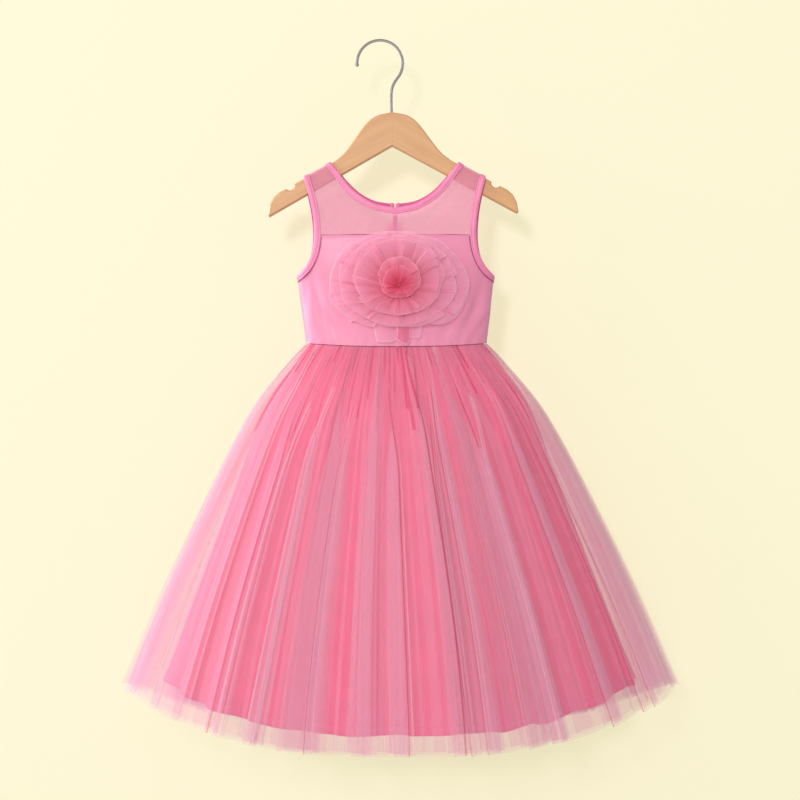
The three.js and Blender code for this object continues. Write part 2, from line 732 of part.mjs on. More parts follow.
// Points of one half of the board's upper edge, from the middle to the tip
function upperEdge() {
  const hump = new THREE.SplineCurve(
    [...BOARD_UPPER, BOARD_SHOULDER].map((p) => new THREE.Vector2(p.x, p.z)),
  ).getPoints(14);
  const centre = new THREE.Vector2(NOTCH.x, boardTop(NOTCH.x) + NOTCH.lift);
  const fall = Math.atan(BOARD_SHOULDER.slope);
  const reach = Math.acos(-NOTCH.lift / NOTCH.radius / Math.hypot(1, BOARD_SHOULDER.slope)) - Math.PI / 2;
  const notch = [0, 0.17, 0.33, 0.5, 0.67, 0.83, 1].map((t) => {
    const angle = fall - Math.PI + reach + t * (Math.PI - 2 * reach);
    return new THREE.Vector2(
      centre.x + NOTCH.radius * Math.cos(angle),
      centre.y + NOTCH.radius * Math.sin(angle),
    );
  });
  const tip = BOARD_TIP.map((p) => new THREE.Vector2(p.x, p.z));
  return [...hump, ...notch, ...tip];
}

function hangerBoard() {
  const half = upperEdge();
  const lower = [
    new THREE.Vector2(BOARD_LOWER.tipX, BOARD_LOWER.tipZ),
    new THREE.Vector2(0, BOARD_LOWER.apexZ),
    new THREE.Vector2(-BOARD_LOWER.tipX, BOARD_LOWER.tipZ),
  ];
  const other = half.slice(1).reverse().map((p) => new THREE.Vector2(-p.x, p.y));
  const shape = new THREE.Shape([...half, ...lower, ...other]);
  const board = new THREE.ExtrudeGeometry(shape, {
    depth: BOARD_DEPTH - 2 * BOARD_BEVEL,
    bevelThickness: BOARD_BEVEL,
    bevelSize: BOARD_BEVEL,
    bevelOffset: -BOARD_BEVEL,
    bevelSegments: 1,
  });
  board.translate(0, 0, BOARD_BEVEL - BOARD_DEPTH / 2);
  board.rotateX(Math.PI / 2);
  board.translate(0, 0, -BOARD.pivotZ);
  board.rotateY(-THREE.MathUtils.degToRad(BOARD.tiltDeg));
  board.translate(BOARD.x, 0, BOARD.pivotZ);
  const foot = NECK.at(-1);
  const seat = new THREE.CylinderGeometry(WIRE_DIAMETER / 2 + SEAM, WIRE_DIAMETER / 2 + SEAM, 60, 16);
  seat.rotateX(Math.PI / 2);
  seat.translate(foot.x, 0, foot.z + 30 - SEAM);
  return geometryOf(solidOf(board).subtract(solidOf(seat)));
}

// The bent wire: a round crook with a small ball at its tip, and a straight neck down into the board
function hangerHook() {
  const centreZ = WIRE_DIAMETER / 2 - CROOK_RADIUS;
  const arc = [];
  for (let deg = CROOK_DEG.tip; deg > CROOK_DEG.neck; deg -= CROOK_DEG.step) {
    const angle = THREE.MathUtils.degToRad(deg);
    arc.push(new THREE.Vector3(CROOK_RADIUS * Math.cos(angle), 0, centreZ + CROOK_RADIUS * Math.sin(angle)));
  }
  const path = new THREE.CatmullRomCurve3([...arc, ...NECK.map((p) => new THREE.Vector3(p.x, 0, p.z))]);
  const section = new THREE.Shape();
  section.absarc(0, 0, WIRE_DIAMETER / 2, 0, 2 * Math.PI, false);
  const wire = new THREE.ExtrudeGeometry(section, { extrudePath: path, steps: 34, curveSegments: 4 });
  const ball = new THREE.SphereGeometry(TIP_BALL, 10, 7);
  ball.translate(arc[0].x, 0, arc[0].z);
  return geometryOf(solidOf(wire).add(solidOf(ball)));
}

// Every piece of the dress drifts sideways as it hangs
function leaned(geometry) {
  const lean = new THREE.Matrix4().set(1, 0, -DRESS_LEAN, 0, 0, 1, 0, 0, 0, 0, 1, 0, 0, 0, 0, 1);
  geometry.translate(0, 0, -BOARD.pivotZ);
  geometry.applyMatrix4(lean);
  geometry.translate(0, 0, BOARD.pivotZ);
  return geometry;
}

const SURFACES = {
  satin: { roughness: 0.42, metalness: 0 },
  net: { roughness: 0.8, metalness: 0 },
  tulle: { roughness: 0.75, metalness: 0 },
  lining: { roughness: 0.45, metalness: 0 },
  binding: { roughness: 0.45, metalness: 0 },
  rosette: { roughness: 0.7, metalness: 0 },
  wood: { roughness: 0.5, metalness: 0 },
  wire: { roughness: 0.35, metalness: 1 },
  tape: { roughness: 0.6, metalness: 0 },
  pull: { roughness: 0.4, metalness: 1 },
};

function place(group, name, kind, geometry) {
  const material = new THREE.MeshStandardMaterial({ color: COLOURS[kind], ...SURFACES[kind] });
  material.name = kind;
  const mesh = new THREE.Mesh(geometry, material);
  mesh.name = name;
  group.add(mesh);
}

function dress() {
  const group = new THREE.Group();
  group.name = "dress";
  group.position.x = DRESS_X;
  const add = (name, kind, geometry) => place(group, name, kind, leaned(geometry));
  const halfOf = (shares, sign) => (sign > 0 ? shares : shares.slice(1).map((s) => -s).reverse().concat(-0));
  const backYokeShares = yokeShares("back");
  add("front_yoke", "net", yoke("front", mirrored(yokeShares("front"))));
  add("bodice_front", "satin", bodice("front", mirrored(BODICE_SHARES)));
  for (const [name, sign] of [["left", 1], ["right", -1]]) {
    const gap = (sign * ZIP_GAP) / 2;
    add("back_yoke_" + name, "net", yoke("back", halfOf(backYokeShares, sign), gap));
    add("bodice_back_" + name, "satin", bodice("back", halfOf(BODICE_SHARES, sign), gap));
    add("armhole_binding_" + name, "binding", armholeBinding(sign));
  }
  add("neck_binding", "binding", neckBinding());
  for (const side of ["front", "back"]) {
    add("tulle_skirt_" + side, "tulle", skirtPanel(TULLE, side));
    add("lining_skirt_" + side, "lining", skirtPanel(LINING, side));
  }
  RUFFLES.forEach((row, i) => add(row.name, "rosette", ruffle(row, i)));
  add("rosette_bud", "rosette", bud());
  add("zip_tape", "tape", zipTape());
  add("zip_slider", "pull", slider());
  add("zip_pull", "pull", pullTab());
  return group;
}

const part = new THREE.Group();
part.name = "toddler_party_dress_on_a_hanger";
place(part, "hanger_board", "wood", hangerBoard());
place(part, "hanger_hook", "wire", hangerHook());
part.add(dress());

export default part;
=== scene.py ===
import math

import bpy
import numpy as np
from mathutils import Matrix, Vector


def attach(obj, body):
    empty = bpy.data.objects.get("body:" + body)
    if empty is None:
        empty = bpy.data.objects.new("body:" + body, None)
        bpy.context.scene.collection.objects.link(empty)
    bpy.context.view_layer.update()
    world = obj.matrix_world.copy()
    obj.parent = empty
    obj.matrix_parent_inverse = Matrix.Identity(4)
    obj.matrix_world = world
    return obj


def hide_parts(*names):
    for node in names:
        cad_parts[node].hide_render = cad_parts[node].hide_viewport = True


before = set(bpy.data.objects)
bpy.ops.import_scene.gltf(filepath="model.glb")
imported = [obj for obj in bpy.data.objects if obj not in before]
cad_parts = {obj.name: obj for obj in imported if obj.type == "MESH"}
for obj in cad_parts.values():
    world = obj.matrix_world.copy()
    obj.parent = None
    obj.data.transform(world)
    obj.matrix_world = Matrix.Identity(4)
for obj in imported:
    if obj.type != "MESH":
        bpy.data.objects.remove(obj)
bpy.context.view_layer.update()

# Sizes of the dress in millimetres, the same as the solids'
BODY = "dress_on_hanger"
MM = 0.001
DRESS_X, LEAN, PIVOT_Z = 17.5, 0.0105, -145.0
SLOPE, SLOPE_X, SLOPE_Z = -0.538, 72.0, -145.2
LIFT, ROLL = 2.3, 9.0
POWER = 2.6
YOKE_Z, WAIST_Z, WAIST_SAG, UNDERARM = -234.0, -361.7, 4.5, (117.8, -280.5)
ZIP_GAP = 1.6
BODY_ROWS = [  # z, half-width, front, back
    (-130, 226, 9.0, 9.0), (-165, 205, 10.2, 9.8), (-190, 180, 14.0, 12.0), (-212, 151, 18.6, 14.7),
    (-234, 130, 23.0, 17.6), (-262, 120.4, 28.0, 21.0), (-281, 117.8, 30.0, 22.4),
    (-324, 112.6, 31.0, 23.8), (-372, 106.9, 30.0, 24.6)]
NECK = {  # x, z
    "front": [(0, -200.6), (20.4, -196.8), (32.6, -191.4), (44.8, -183.4), (56.8, -171.4), (67, -157.5)],
    "back": [(0, -193.6), (20.4, -190.9), (34, -185.6), (46, -177.6), (57.4, -166.2), (67, -155)]}
ARM = {  # x, z
    "front": [(103.8, -182.6), (99, -204), (96.7, -225), (97.3, -242), (101, -258), (108, -271)],
    "back": [(105.4, -182.6), (101.4, -204), (99.4, -225), (99.8, -242), (103, -258), (109, -271)]}
NECK_X, ARM_X = 76.3, 109.3
SIGN = {"front": -1.0, "back": 1.0}
SIDES = (("left", 1), ("right", -1))

# The panels end UNDER inside the finished edge, between the binding's two leaves
UNDER, YOKE_TUCK, YOKE_SLACK = 3.0, 2.5, 0.25
TROUGHS = {  # x, z, direction in radians, length, width, depth
    "front": [(-93, -318, 1.78, 38, 7, 3.2), (-76, -338, 1.95, 24, 6, 2.2), (97, -315, 1.35, 34, 7, 2.8),
              (86, -336, 1.1, 24, 5, 2.3), (102, -342, 1.0, 18, 4, 1.8), (-108, -302, 1.6, 24, 5, 1.6),
              (0, -250, 0.0, 60, 5, 0.5), (60, -345, 1.2, 18, 5, 1.0), (-62, -348, 1.9, 16, 5, 0.9)],
    "back": [(-90, -320, 1.8, 34, 8, 2.0), (88, -316, 1.3, 34, 8, 2.0), (-60, -340, 1.8, 20, 5, 1.2),
             (58, -338, 1.3, 20, 5, 1.2), (30, -300, 0.4, 30, 7, 1.0), (-34, -290, -0.4, 30, 7, 1.0),
             (96, -345, 1.1, 16, 5, 1.0), (-98, -342, 2.0, 16, 5, 1.0)]}

# Bindings: LEAF holds the distance from the finished edge and half the thickness of the folded strip
BINDING, SHOWN_STRIP = 7.0, 0.0185
LEAF = [
    (7.4, 0.5), (6.8, 0.85), (6.1, 0.9), (5.5, 0.5), (4.9, 1.0),
    (3.6, 1.3), (2.0, 1.2), (0.8, 0.85), (0.2, 0.45)]
DITCH, MIDDLE = 3, 4
KNOB_TOP, KNOB_LONG, KNOB_X, KNOB_WIDE, KNOB_DEEP = -192.2, 8.8, 2.9, 2.8, 2.3
TAPE_TOP, TAPE_HALF, TAPE_IN = -216.5, 9.0, 1.9
# Distances of the strip of painted shade inside the armhole's finished edge
GAP_INNER, GAP_OUTER = 8.1, 8.9

# Skirts: the share of the way down, the reach to the side, the front and the back, and the fold's depth
TULLE_RINGS = [
    (0.0, 108.2, 31.4, 25.8, 1.0), (0.055, 126, 38.8, 29.2, 1.9), (0.19, 166.5, 55, 35, 3.6),
    (0.30, 193, 66.5, 38, 4.8), (0.48, 231.5, 84.5, 42, 6.0), (0.72, 280, 108.5, 46.5, 7.2),
    (1.0, 331.5, 132, 50, 8.2)]
LINING_RINGS = [
    (0.0, 103.6, 26.4, 20.6, 0.6), (0.06, 120, 31.5, 22.5, 1.0), (0.2, 156, 44, 25, 2.0),
    (0.52, 205, 65, 27, 3.2), (1.0, 281, 96, 30, 4.6)]
TULLE_LONG = {"side": 467, "front": 478.5, "back": 470}
LINING_LONG = {"side": 443, "front": 456, "back": 446}
TULLE_START = (-0.12, 0.2)
# Rows, folds, seed, lean, scale, start, fine, hem, ruck
LINING_FOLDS = (26, 20, 5, (0.03, 0.13), 1.25, (-0.2, 0.1), 96, 1.0, 1.3)
SIDE_FRONT_BACK = ("side", "front", "back")
SKIRT_DROP = 0.8
# Marks on the skirt's faces: plain cloth, the crest line that some layers paint as a highlight, and the
# crease that the top layer paints as shade
PLAIN, CREST, CREASE = 0, 1, 2
CREASE_WIDTH, CREST_RIM = 1.3, 0.42
RISE_COLUMNS, TOP_COLUMNS, UNDER_COLUMNS = 6, 9, 5
LEFT_SHARE, CREASED_SHARE, LINED_SHARE, SWAY = 0.72, 0.5, 0.85, 0.2
SKIRTS = [  # name, folds, seed, lean, inset, shorter, scale, fine, spread, ruck, nest, rows, hem
    ("tulle_layer_1", 38, 11, (0.3, 0.68), 0.0, 0.0, 0.55, 120, (0.35, 1.8), 2.0, 0.0, 34, 0.9),
    ("tulle_layer_2", 38, 11, (0.3, 0.68), 3.5, 1.2, 0.52, 120, (0.35, 1.8), 1.6, 0.0042, 28, 0.5),
    ("tulle_layer_3", 38, 11, (0.3, 0.68), 6.5, 2.2, 0.5, 0, (0.35, 1.8), 1.0, -0.0034, 28, 0.5),
    ("tulle_layer_4", 37, 51, (0.28, 0.50), 9.5, 3.0, 0.3, 0, (0.6, 1.4), 1.0, 0.0, 28, 0.5)]
HEM_SECTION = [  # up from the edge, out from the cloth
    (9.0, 0.15), (8.6, 0.75), (6.0, 0.8), (1.2, 0.8), (0.0, 0.5), (-0.4, 0.0), (0.0, -0.6), (8.8, -0.5)]
HEM_STITCH = (7.6, 0.85)

# Rosette, in millimetres round its middle
DEGREE = math.pi / 180
RX, RZ = 3.0, -296.0
# The edge column picks the paler material of each ruffle's rim and sharp folds: a painted highlight
RUFFLES = [  # name, layer, sewn rx, rz, out, free rx, rz, out, right, up, gathers, material, edge
    ("ruffle_outer", "a", 50, 40, 1.6, 83, 62, 5.2, 0, 3, 34, 0, 1),
    ("ruffle_outer", "b", 48, 38, 2.2, 81, 60, 7.0, 0, 3, 30, 0, 1),
    ("ruffle_third", "a", 30, 26, 3.4, 68, 54, 9.0, 0, 6, 30, 0, 1),
    ("ruffle_third", "b", 28, 24, 3.8, 66.5, 52, 10.6, 0, 6, 26, 0, 1),
    ("ruffle_second", "a", 9, 8, 7.0, 52, 46, 12.4, 0, 11, 26, 0, 1),
    ("ruffle_second", "b", 8, 7, 8.0, 49.5, 43, 13.8, -1, 10, 22, 0, 1),
    ("ruffle_inner", "a", 3, 3, 14.6, 25, 23, 16.4, 1, 9, 13, 2, 3),
    ("ruffle_inner", "b", 2.5, 2.5, 15.6, 18, 16, 17.4, 0, 6, 9, 2, 3)]
RUFFLE_ROWS, COLUMNS_A_GATHER, RUFFLE_SEED, CRISP = 15, 14, 300, 2
# Folds of each ruffle: angle in degrees from +X towards up, width in degrees, overlap and lift.
# A fold whose overlap is CRISP or more is sharp, and its line takes a painted highlight.
FOLDS = {
    "ruffle_outera": [(20, 14, 1.2, 1), (75, 11, 1.3, -1), (128, 14, 1.2, 1), (228, 13, 1.3, -1),
                      (262, 10, 2.2, 1), (300, 14, 1.2, 1), (338, 11, 1.2, -1)],
    "ruffle_outerb": [(40, 13, 1.2, -1), (100, 12, 1.3, 1), (150, 13, 1.2, -1), (205, 13, 1.3, 1),
                      (245, 11, 2.2, 1), (322, 13, 1.2, 1)],
    "ruffle_thirda": [(8, 13, 1.2, 1), (58, 14, 2.3, 1), (112, 13, 1.2, -1), (160, 13, 1.3, 1),
                      (212, 13, 2.3, 1), (268, 9, 2.6, 1), (318, 13, 1.2, -1)],
    "ruffle_thirdb": [(34, 13, 1.3, 1), (90, 13, 1.2, 1), (140, 14, 1.2, -1), (190, 13, 1.3, 1),
                      (238, 13, 1.3, -1), (290, 13, 2.1, 1), (345, 12, 1.2, 1)],
    "ruffle_seconda": [(41, 17, 3.2, 1), (96, 13, 1.3, -1), (146, 13, 1.2, 1), (183, 13, 2.6, 1),
                       (219, 15, 2.8, 1), (268, 10, 2.4, -1), (312, 13, 1.3, 1)],
    "ruffle_secondb": [(18, 13, 1.3, 1), (64, 13, 1.2, 1), (120, 14, 1.3, -1), (200, 14, 2.4, 1),
                       (240, 13, 1.3, 1), (290, 13, 1.3, -1), (338, 13, 1.2, 1)],
    "ruffle_innera": [(38, 22, 3.0, 1), (108, 20, 1.4, -1), (172, 22, 1.6, 1), (228, 22, 2.8, 1),
                      (300, 22, 2.6, 1)],
    "ruffle_innerb": [(62, 26, 2.4, 1), (140, 24, 1.4, 1), (205, 26, 2.6, -1), (268, 24, 1.4, 1),
                      (335, 26, 2.2, -1)]}
# How much shorter the outer ruffle is where the loose ends hang
LOW_CUT = 0.2
PLEATS = [  # angle in degrees, from, to, width at the rim; they lie on the second ruffle
    (40, 9, 47, 9.5), (184, 12, 47, -7), (219, 13, 46, 6.5), (267, 13, 50, -5), (300, 16, 47, 5),
    (128, 14, 44, 6), (82, 15, 43, -5)]
ROLL_TURNS, ROLL_STEPS, ROLL_ROWS, ROLL_FOOT, ROLL_CUT = 2.1, 170, 14, 2.4, 0.018
ENDS = [  # x, top z, width, length, turn in degrees, out, spread, first material
    (9.0, -318.0, 15.0, 46.0, -1, 7.4, 1.06, 0), (-22.0, -320.0, 17.0, 43.0, 21, 6.2, 1.9, 2),
    (27.0, -319.0, 19.0, 39.0, -24, 5.8, 1.6, 2)]
PETAL_STOPS = [  # share of the reach of the rosette, colour
    (0.0, (238, 88, 118)), (0.1, (240, 94, 124)), (0.2, (243, 118, 146)), (0.3, (247, 136, 162)),
    (0.52, (252, 160, 188)), (0.85, (254, 178, 206))]

# Stage, lights and camera in metres
WALL_Y, WALL_HALF, WALL_TOP, FLOOR_Z, FLOOR_HALF = 0.076, 3, 2.0, -1.0, 6
CENTRE = (0.024, 0.0, -0.43)
COOL = (1.0, 0.985, 0.985)
LIGHTS = [  # name, place, size, power, colour
    ("key", (-1.55, -6.0, 1.6), 1.1, 194, (1.0, 0.985, 0.97)), ("side", (-3.6, -1.25, 0.8), 1.6, 52, COOL),
    ("rim", (-3.3, 0.75, 0.3), 0.9, 90, COOL), ("back_fill", (1.6, 3.4, 0.8), 1.8, 34, (1, 1, 1))]
WORLD_GLOW = 0.56
CAMERA_AT, CAMERA_LENS, CAMERA_SENSOR = (0.024, -2.4, -0.430), 90, 36
CLEAR_BOUNCES = 34


# Numbers and curves
def lin(r, g, b):
    """A colour of 0 to 255 a channel as linear light, with full alpha."""
    shares = [c / 255 for c in (r, g, b)]
    return tuple(((s + 0.055) / 1.055) ** 2.4 if s > 0.04 else s / 12.92 for s in shares) + (1.0,)


def table(rows, column):
    """A smooth curve through one column of a table against its first column."""
    rows = sorted(rows)
    key = np.array([r[0] for r in rows], float)
    val = np.array([r[column] for r in rows], float)
    last = len(rows) - 1
    after, before = [min(i + 1, last) for i in range(last + 1)], [max(i - 1, 0) for i in range(last + 1)]
    slope = (val[after] - val[before]) / (key[after] - key[before])

    def read(x):
        x = np.asarray(x, float)
        i = np.clip(np.searchsorted(key, x, side="right") - 1, 0, last - 1)
        span = key[i + 1] - key[i]
        t = np.clip((x - key[i]) / span, 0, 1)
        bend = t * (1 - t) * span * ((1 - t) * slope[i] - t * slope[i + 1])
        return (1 + 2 * t) * (1 - t) ** 2 * val[i] + t * t * (3 - 2 * t) * val[i + 1] + bend
    return read


def smooth(x, a=0.0, b=1.0):
    t = np.clip((np.asarray(x, float) - a) / (b - a), 0, 1)
    return t * t * (3 - 2 * t)


def unit(v):
    return v / np.linalg.norm(v, axis=-1, keepdims=True)


def run_of(points):
    """The length run so far at each point of a line."""
    return np.concatenate([[0], np.cumsum(np.linalg.norm(np.diff(points, axis=0), axis=-1))])


def closed(points):
    return np.concatenate([points, points[:1]])


half_at = table(BODY_ROWS, 1)
depth_at = {"front": table(BODY_ROWS, 2), "back": table(BODY_ROWS, 3)}


def shoulder_z(x):
    return SLOPE_Z + SLOPE * (np.abs(x) - SLOPE_X) + LIFT


def oval(x, z):
    return np.sqrt(np.maximum(0, 1 - np.abs(x / half_at(z)) ** POWER))


def on_body(side, x, z):
    """Points on the front or back of the bodice; it rolls over at the shoulder line."""
    x, z = np.broadcast_arrays(np.asarray(x, float), np.asarray(z, float))
    left = np.clip(1 - (shoulder_z(x) - z) / ROLL, 0, 1)
    y = SIGN[side] * depth_at[side](z) * oval(x, z) * (1 - left ** 4) ** 0.25
    return np.stack([x, y, z], -1)


def off_body(side, x, z, out):
    """Points on the bodice moved out along its normal."""
    h = 0.5
    across = on_body(side, x + h, z) - on_body(side, x - h, z)
    up = on_body(side, x, z + h) - on_body(side, x, z - h)
    n = unit(np.cross(across, up))
    n *= np.where(n[..., 1:2] * SIGN[side] < 0, -1, 1)
    return on_body(side, x, z) + n * np.asarray(out)[..., None]


def waist_z(x):
    return WAIST_Z - WAIST_SAG * oval(x, WAIST_Z) ** 2


def spline(points, ts):
    """A smooth line through points, read at shares ts of their count."""
    p = np.array(points, float)
    last = len(p) - 1
    out = []
    for t in ts:
        i = min(int(last * t), last)
        w = last * t - i
        p0, p1, p2, p3 = (p[min(max(j, 0), last)] for j in range(i - 1, i + 3))
        v0, v1 = (p2 - p0) / 2, (p3 - p1) / 2
        bend = (2 * p1 - 2 * p2 + v0 + v1) * w ** 3 + (3 * p2 - 3 * p1 - 2 * v0 - v1) * w ** 2
        out.append(bend + v0 * w + p1)
    return np.array(out)


def neckline(side, steps=48):
    points = NECK[side] + [(NECK_X, float(shoulder_z(NECK_X)))]
    return spline(points, [math.sin(i / steps * math.pi / 2) for i in range(steps + 1)])


def armhole(side, steps=52):
    points = [(ARM_X, float(shoulder_z(ARM_X)))] + ARM[side] + [UNDERARM]
    return spline(points, [(1 - math.cos(i / steps * math.pi)) / 2 for i in range(steps + 1)])


def moved_in(line, distance, side, turn):
    """An edge moved into the cloth; it runs along the shoulder at its top and down at the underarm."""
    along = np.array([1, SLOPE]) / math.hypot(1, SLOPE) * turn
    out = []
    for i, p in enumerate(line):
        t = line[min(i + 1, len(line) - 1)] - line[max(i - 1, 0)]
        t = t / np.linalg.norm(t)
        d = np.array([t[1], -t[0]])
        d = d + (along - d) * (1 - smooth((shoulder_z(p[0]) - p[1]) / (1.5 * ROLL)))
        if turn < 0:
            depth = abs(on_body(side, p[0], p[1])[1])
            k = depth / (0.5 * depth_at[side](p[1])) if p[1] < YOKE_Z else 1
            d = d + (np.array([0, -1.0]) - d) * (1 - smooth(k))
        q = p + d / np.linalg.norm(d) * distance
        if p[1] <= UNDERARM[1] + 1e-6:
            q[0] = half_at(q[1])
        out.append(q)
    return np.array(out)


# Meshes
def to_world(p):
    q = np.array(p, float)
    q[..., 0] += DRESS_X - LEAN * (q[..., 2] - PIVOT_Z)
    return q * MM


def strip(grid, loop=False, mat=None):
    """Vertices, faces, UVs in metres and material numbers of one grid; loop closes the columns."""
    rows, cols = grid.shape[:2]
    across = np.linalg.norm(np.diff(grid, axis=1), axis=-1).mean(0)
    down = np.linalg.norm(np.diff(grid, axis=0), axis=-1).mean(1)
    u = np.concatenate([[0], np.cumsum(across)])
    if loop:
        u = np.append(u, u[-1] + np.linalg.norm(grid[:, 0] - grid[:, -1], axis=-1).mean())
    uv = np.stack(np.meshgrid(u, np.concatenate([[0], np.cumsum(down)])), -1) * MM
    r, c = np.meshgrid(np.arange(rows - 1), np.arange(cols if loop else cols - 1), indexing="ij")
    r, c = r.ravel(), c.ravel()
    c1 = (c + 1) % cols
    faces = np.stack([r * cols + c, (r + 1) * cols + c, (r + 1) * cols + c1, r * cols + c1], -1)
    uvs = np.stack([uv[r, c], uv[r + 1, c], uv[r + 1, c + 1], uv[r, c + 1]], 1)
    mats = np.zeros(len(faces), int) if mat is None else np.asarray(mat)[r, c]
    return grid.reshape(-1, 3), faces, uvs, mats


def make(name, parts, materials):
    """One smooth piece of cloth from grids that are given in the dress's millimetres."""
    base = np.cumsum([0] + [len(part[0]) for part in parts])
    verts = to_world(np.concatenate([part[0] for part in parts]))
    faces = np.concatenate([part[1] + start for part, start in zip(parts, base)])
    uvs, mats = np.concatenate([part[2] for part in parts]), np.concatenate([part[3] for part in parts])
    mesh = bpy.data.meshes.new(name)
    mesh.vertices.add(len(verts))
    mesh.vertices.foreach_set("co", verts.astype(np.float32).ravel())
    mesh.loops.add(faces.size)
    mesh.loops.foreach_set("vertex_index", faces.astype(np.int32).ravel())
    mesh.polygons.add(len(faces))
    mesh.polygons.foreach_set("loop_start", np.arange(0, faces.size, 4, dtype=np.int32))
    mesh.polygons.foreach_set("loop_total", np.full(len(faces), 4, np.int32))
    mesh.uv_layers.new(name="UVMap").data.foreach_set("uv", uvs.astype(np.float32).ravel())
    for m in materials:
        mesh.materials.append(m)
    mesh.polygons.foreach_set("material_index", mats.astype(np.int32))
    mesh.polygons.foreach_set("use_smooth", np.full(len(faces), True))
    mesh.update()
    mesh.validate()
    ob = bpy.data.objects.new(name, mesh)
    bpy.context.scene.collection.objects.link(ob)
    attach(ob, BODY)
    return ob


def cloth(nodes=()):
    if nodes:
        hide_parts(*nodes)


# Materials
def new_material(name):
    made = bpy.data.materials.new(name)
    made.use_nodes = True
    return made, made.node_tree, made.node_tree.nodes["Principled BSDF"]


def fill(tree, target, inputs):
    """Fills a node's inputs: a socket is linked, and anything else is the value."""
    for key, value in inputs.items():
        if isinstance(value, bpy.types.NodeSocket):
            tree.links.new(value, target.inputs[key])
        else:
            target.inputs[key].default_value = value


def add_node(tree, kind, inputs, **settings):
    made = tree.nodes.new("ShaderNode" + kind)
    for key, value in settings.items():
        setattr(made, key, value)
    fill(tree, made, inputs)
    return made


def add_ramp(tree, factor, stops):
    """The colour read at factor from stops of a position and a colour."""
    made = add_node(tree, "ValToRGB", {"Fac": factor})
    points = made.color_ramp.elements
    points[0].position, points[1].position = stops[0][0], stops[-1][0]
    for place, _ in stops[1:-1]:
        points.new(place)
    for point, (_, color) in zip(sorted(points, key=lambda p: p.position), stops):
        point.color = color
    return made.outputs["Color"]


def material(name, base, rough=0.8, alpha=1.0, metallic=0.0, sheen=0.0, spec=0.5, vary=0.04, vary_scale=200,
             weave=None, bump_noise=None, relief=0.08, coat=0.0):
    """A surface whose base is a colour, which then varies a little, or a function that paints it."""
    made, tree, surface = new_material(name)
    coord = add_node(tree, "TexCoord", {}).outputs
    if callable(base):
        color = base(tree, coord)
    else:
        noise = add_node(tree, "TexNoise", {"Vector": coord["Object"], "Scale": vary_scale, "Detail": 3})
        dark = tuple(c * (1 - vary * 2) for c in base[:3]) + (1,)
        light = tuple(min(1, c * (1 + vary)) for c in base[:3]) + (1,)
        color = add_ramp(tree, noise.outputs["Fac"], [(0.3, dark), (0.7, light)])
    fill(tree, surface, {"Base Color": color, "Roughness": rough, "Metallic": metallic, "Alpha": alpha,
                         "Specular IOR Level": spec, "Sheen Weight": sheen, "Sheen Roughness": 0.4,
                         "Coat Weight": coat})
    heights = []
    if weave:
        for axis in ("X", "Y"):
            wave = add_node(tree, "TexWave", {"Vector": coord["UV"], "Scale": weave, "Distortion": 0.6},
                            wave_type="BANDS", bands_direction=axis)
            heights.append(wave.outputs["Fac"])
    if bump_noise:
        noise = add_node(tree, "TexNoise", {"Vector": coord["Object"], "Scale": bump_noise, "Detail": 5})
        heights.append(noise.outputs["Fac"])
    if heights:
        height = heights[0]
        for other in heights[1:]:
            height = add_node(tree, "Math", {0: height, 1: other}, operation="ADD").outputs[0]
        bump = add_node(tree, "Bump", {"Height": height, "Strength": relief, "Distance": 0.0006})
        fill(tree, surface, {"Normal": bump.outputs["Normal"]})
    return made


def wood_material():
    """Varnished wood whose grain follows each sloping arm, with the glued joint at the board's middle."""
    middle, stretch, joint_half = 0.015, 0.09, 0.00035
    made, tree, surface = new_material("hanger_wood")

    def number(operation, first, second=0.0):
        return add_node(tree, "Math", {0: first, 1: second}, operation=operation).outputs[0]

    coord = add_node(tree, "TexCoord", {})
    place = add_node(tree, "SeparateXYZ", {0: coord.outputs["Object"]}).outputs
    off = number("SUBTRACT", place["X"], middle)
    reach = number("ABSOLUTE", off)
    across = number("ADD", number("MULTIPLY", reach, -SLOPE), place["Z"])
    along = number("MULTIPLY", off, stretch)
    run = add_node(tree, "CombineXYZ", {"X": along, "Y": place["Y"], "Z": across})
    fine = {"Vector": run.outputs[0], "Scale": 210, "Detail": 6, "Roughness": 0.62, "Distortion": 0.4}
    grain = add_node(tree, "TexNoise", fine).outputs["Fac"]
    broad = add_node(tree, "TexNoise", {"Vector": run.outputs[0], "Scale": 55, "Detail": 3}).outputs["Fac"]
    fine_color = add_ramp(tree, grain, [(0.32, lin(208, 156, 104)), (0.66, lin(219, 170, 117))])
    broad_color = add_ramp(tree, broad, [(0.3, lin(238, 222, 208)), (0.7, (1, 1, 1, 1))])
    both = add_node(tree, "Mix", {}, data_type="RGBA", blend_type="MULTIPLY")
    fill(tree, both, {"Factor": 0.55, 6: fine_color, 7: broad_color})
    joint = number("LESS_THAN", reach, joint_half)
    wood = add_node(tree, "Mix", {}, data_type="RGBA")
    fill(tree, wood, {"Factor": joint, 6: both.outputs[2], 7: lin(200, 150, 104)})
    bump = add_node(tree, "Bump", {"Height": grain, "Strength": 0.12, "Distance": 0.0004})
    fill(tree, surface, {"Base Color": wood.outputs[2], "Normal": bump.outputs["Normal"], "Roughness": 0.42,
                         "Coat Weight": 0.25, "Coat Roughness": 0.3})
    return made


def net_material(name, color, deep, alpha, sheen=0.0):
    """Tulle: fine lighter and deeper streaks run down the cloth with its folds."""
    def paint(tree, coord):
        place = add_node(tree, "Mapping", {"Vector": coord["UV"], "Scale": (420, 7, 1)})
        streak = add_node(tree, "TexNoise", {"Vector": place.outputs[0], "Scale": 1.0, "Detail": 2})
        return add_ramp(tree, streak.outputs["Fac"], [(0.3, deep), (0.68, color)])
    return material(name, paint, alpha=alpha, sheen=sheen, spec=0.12)


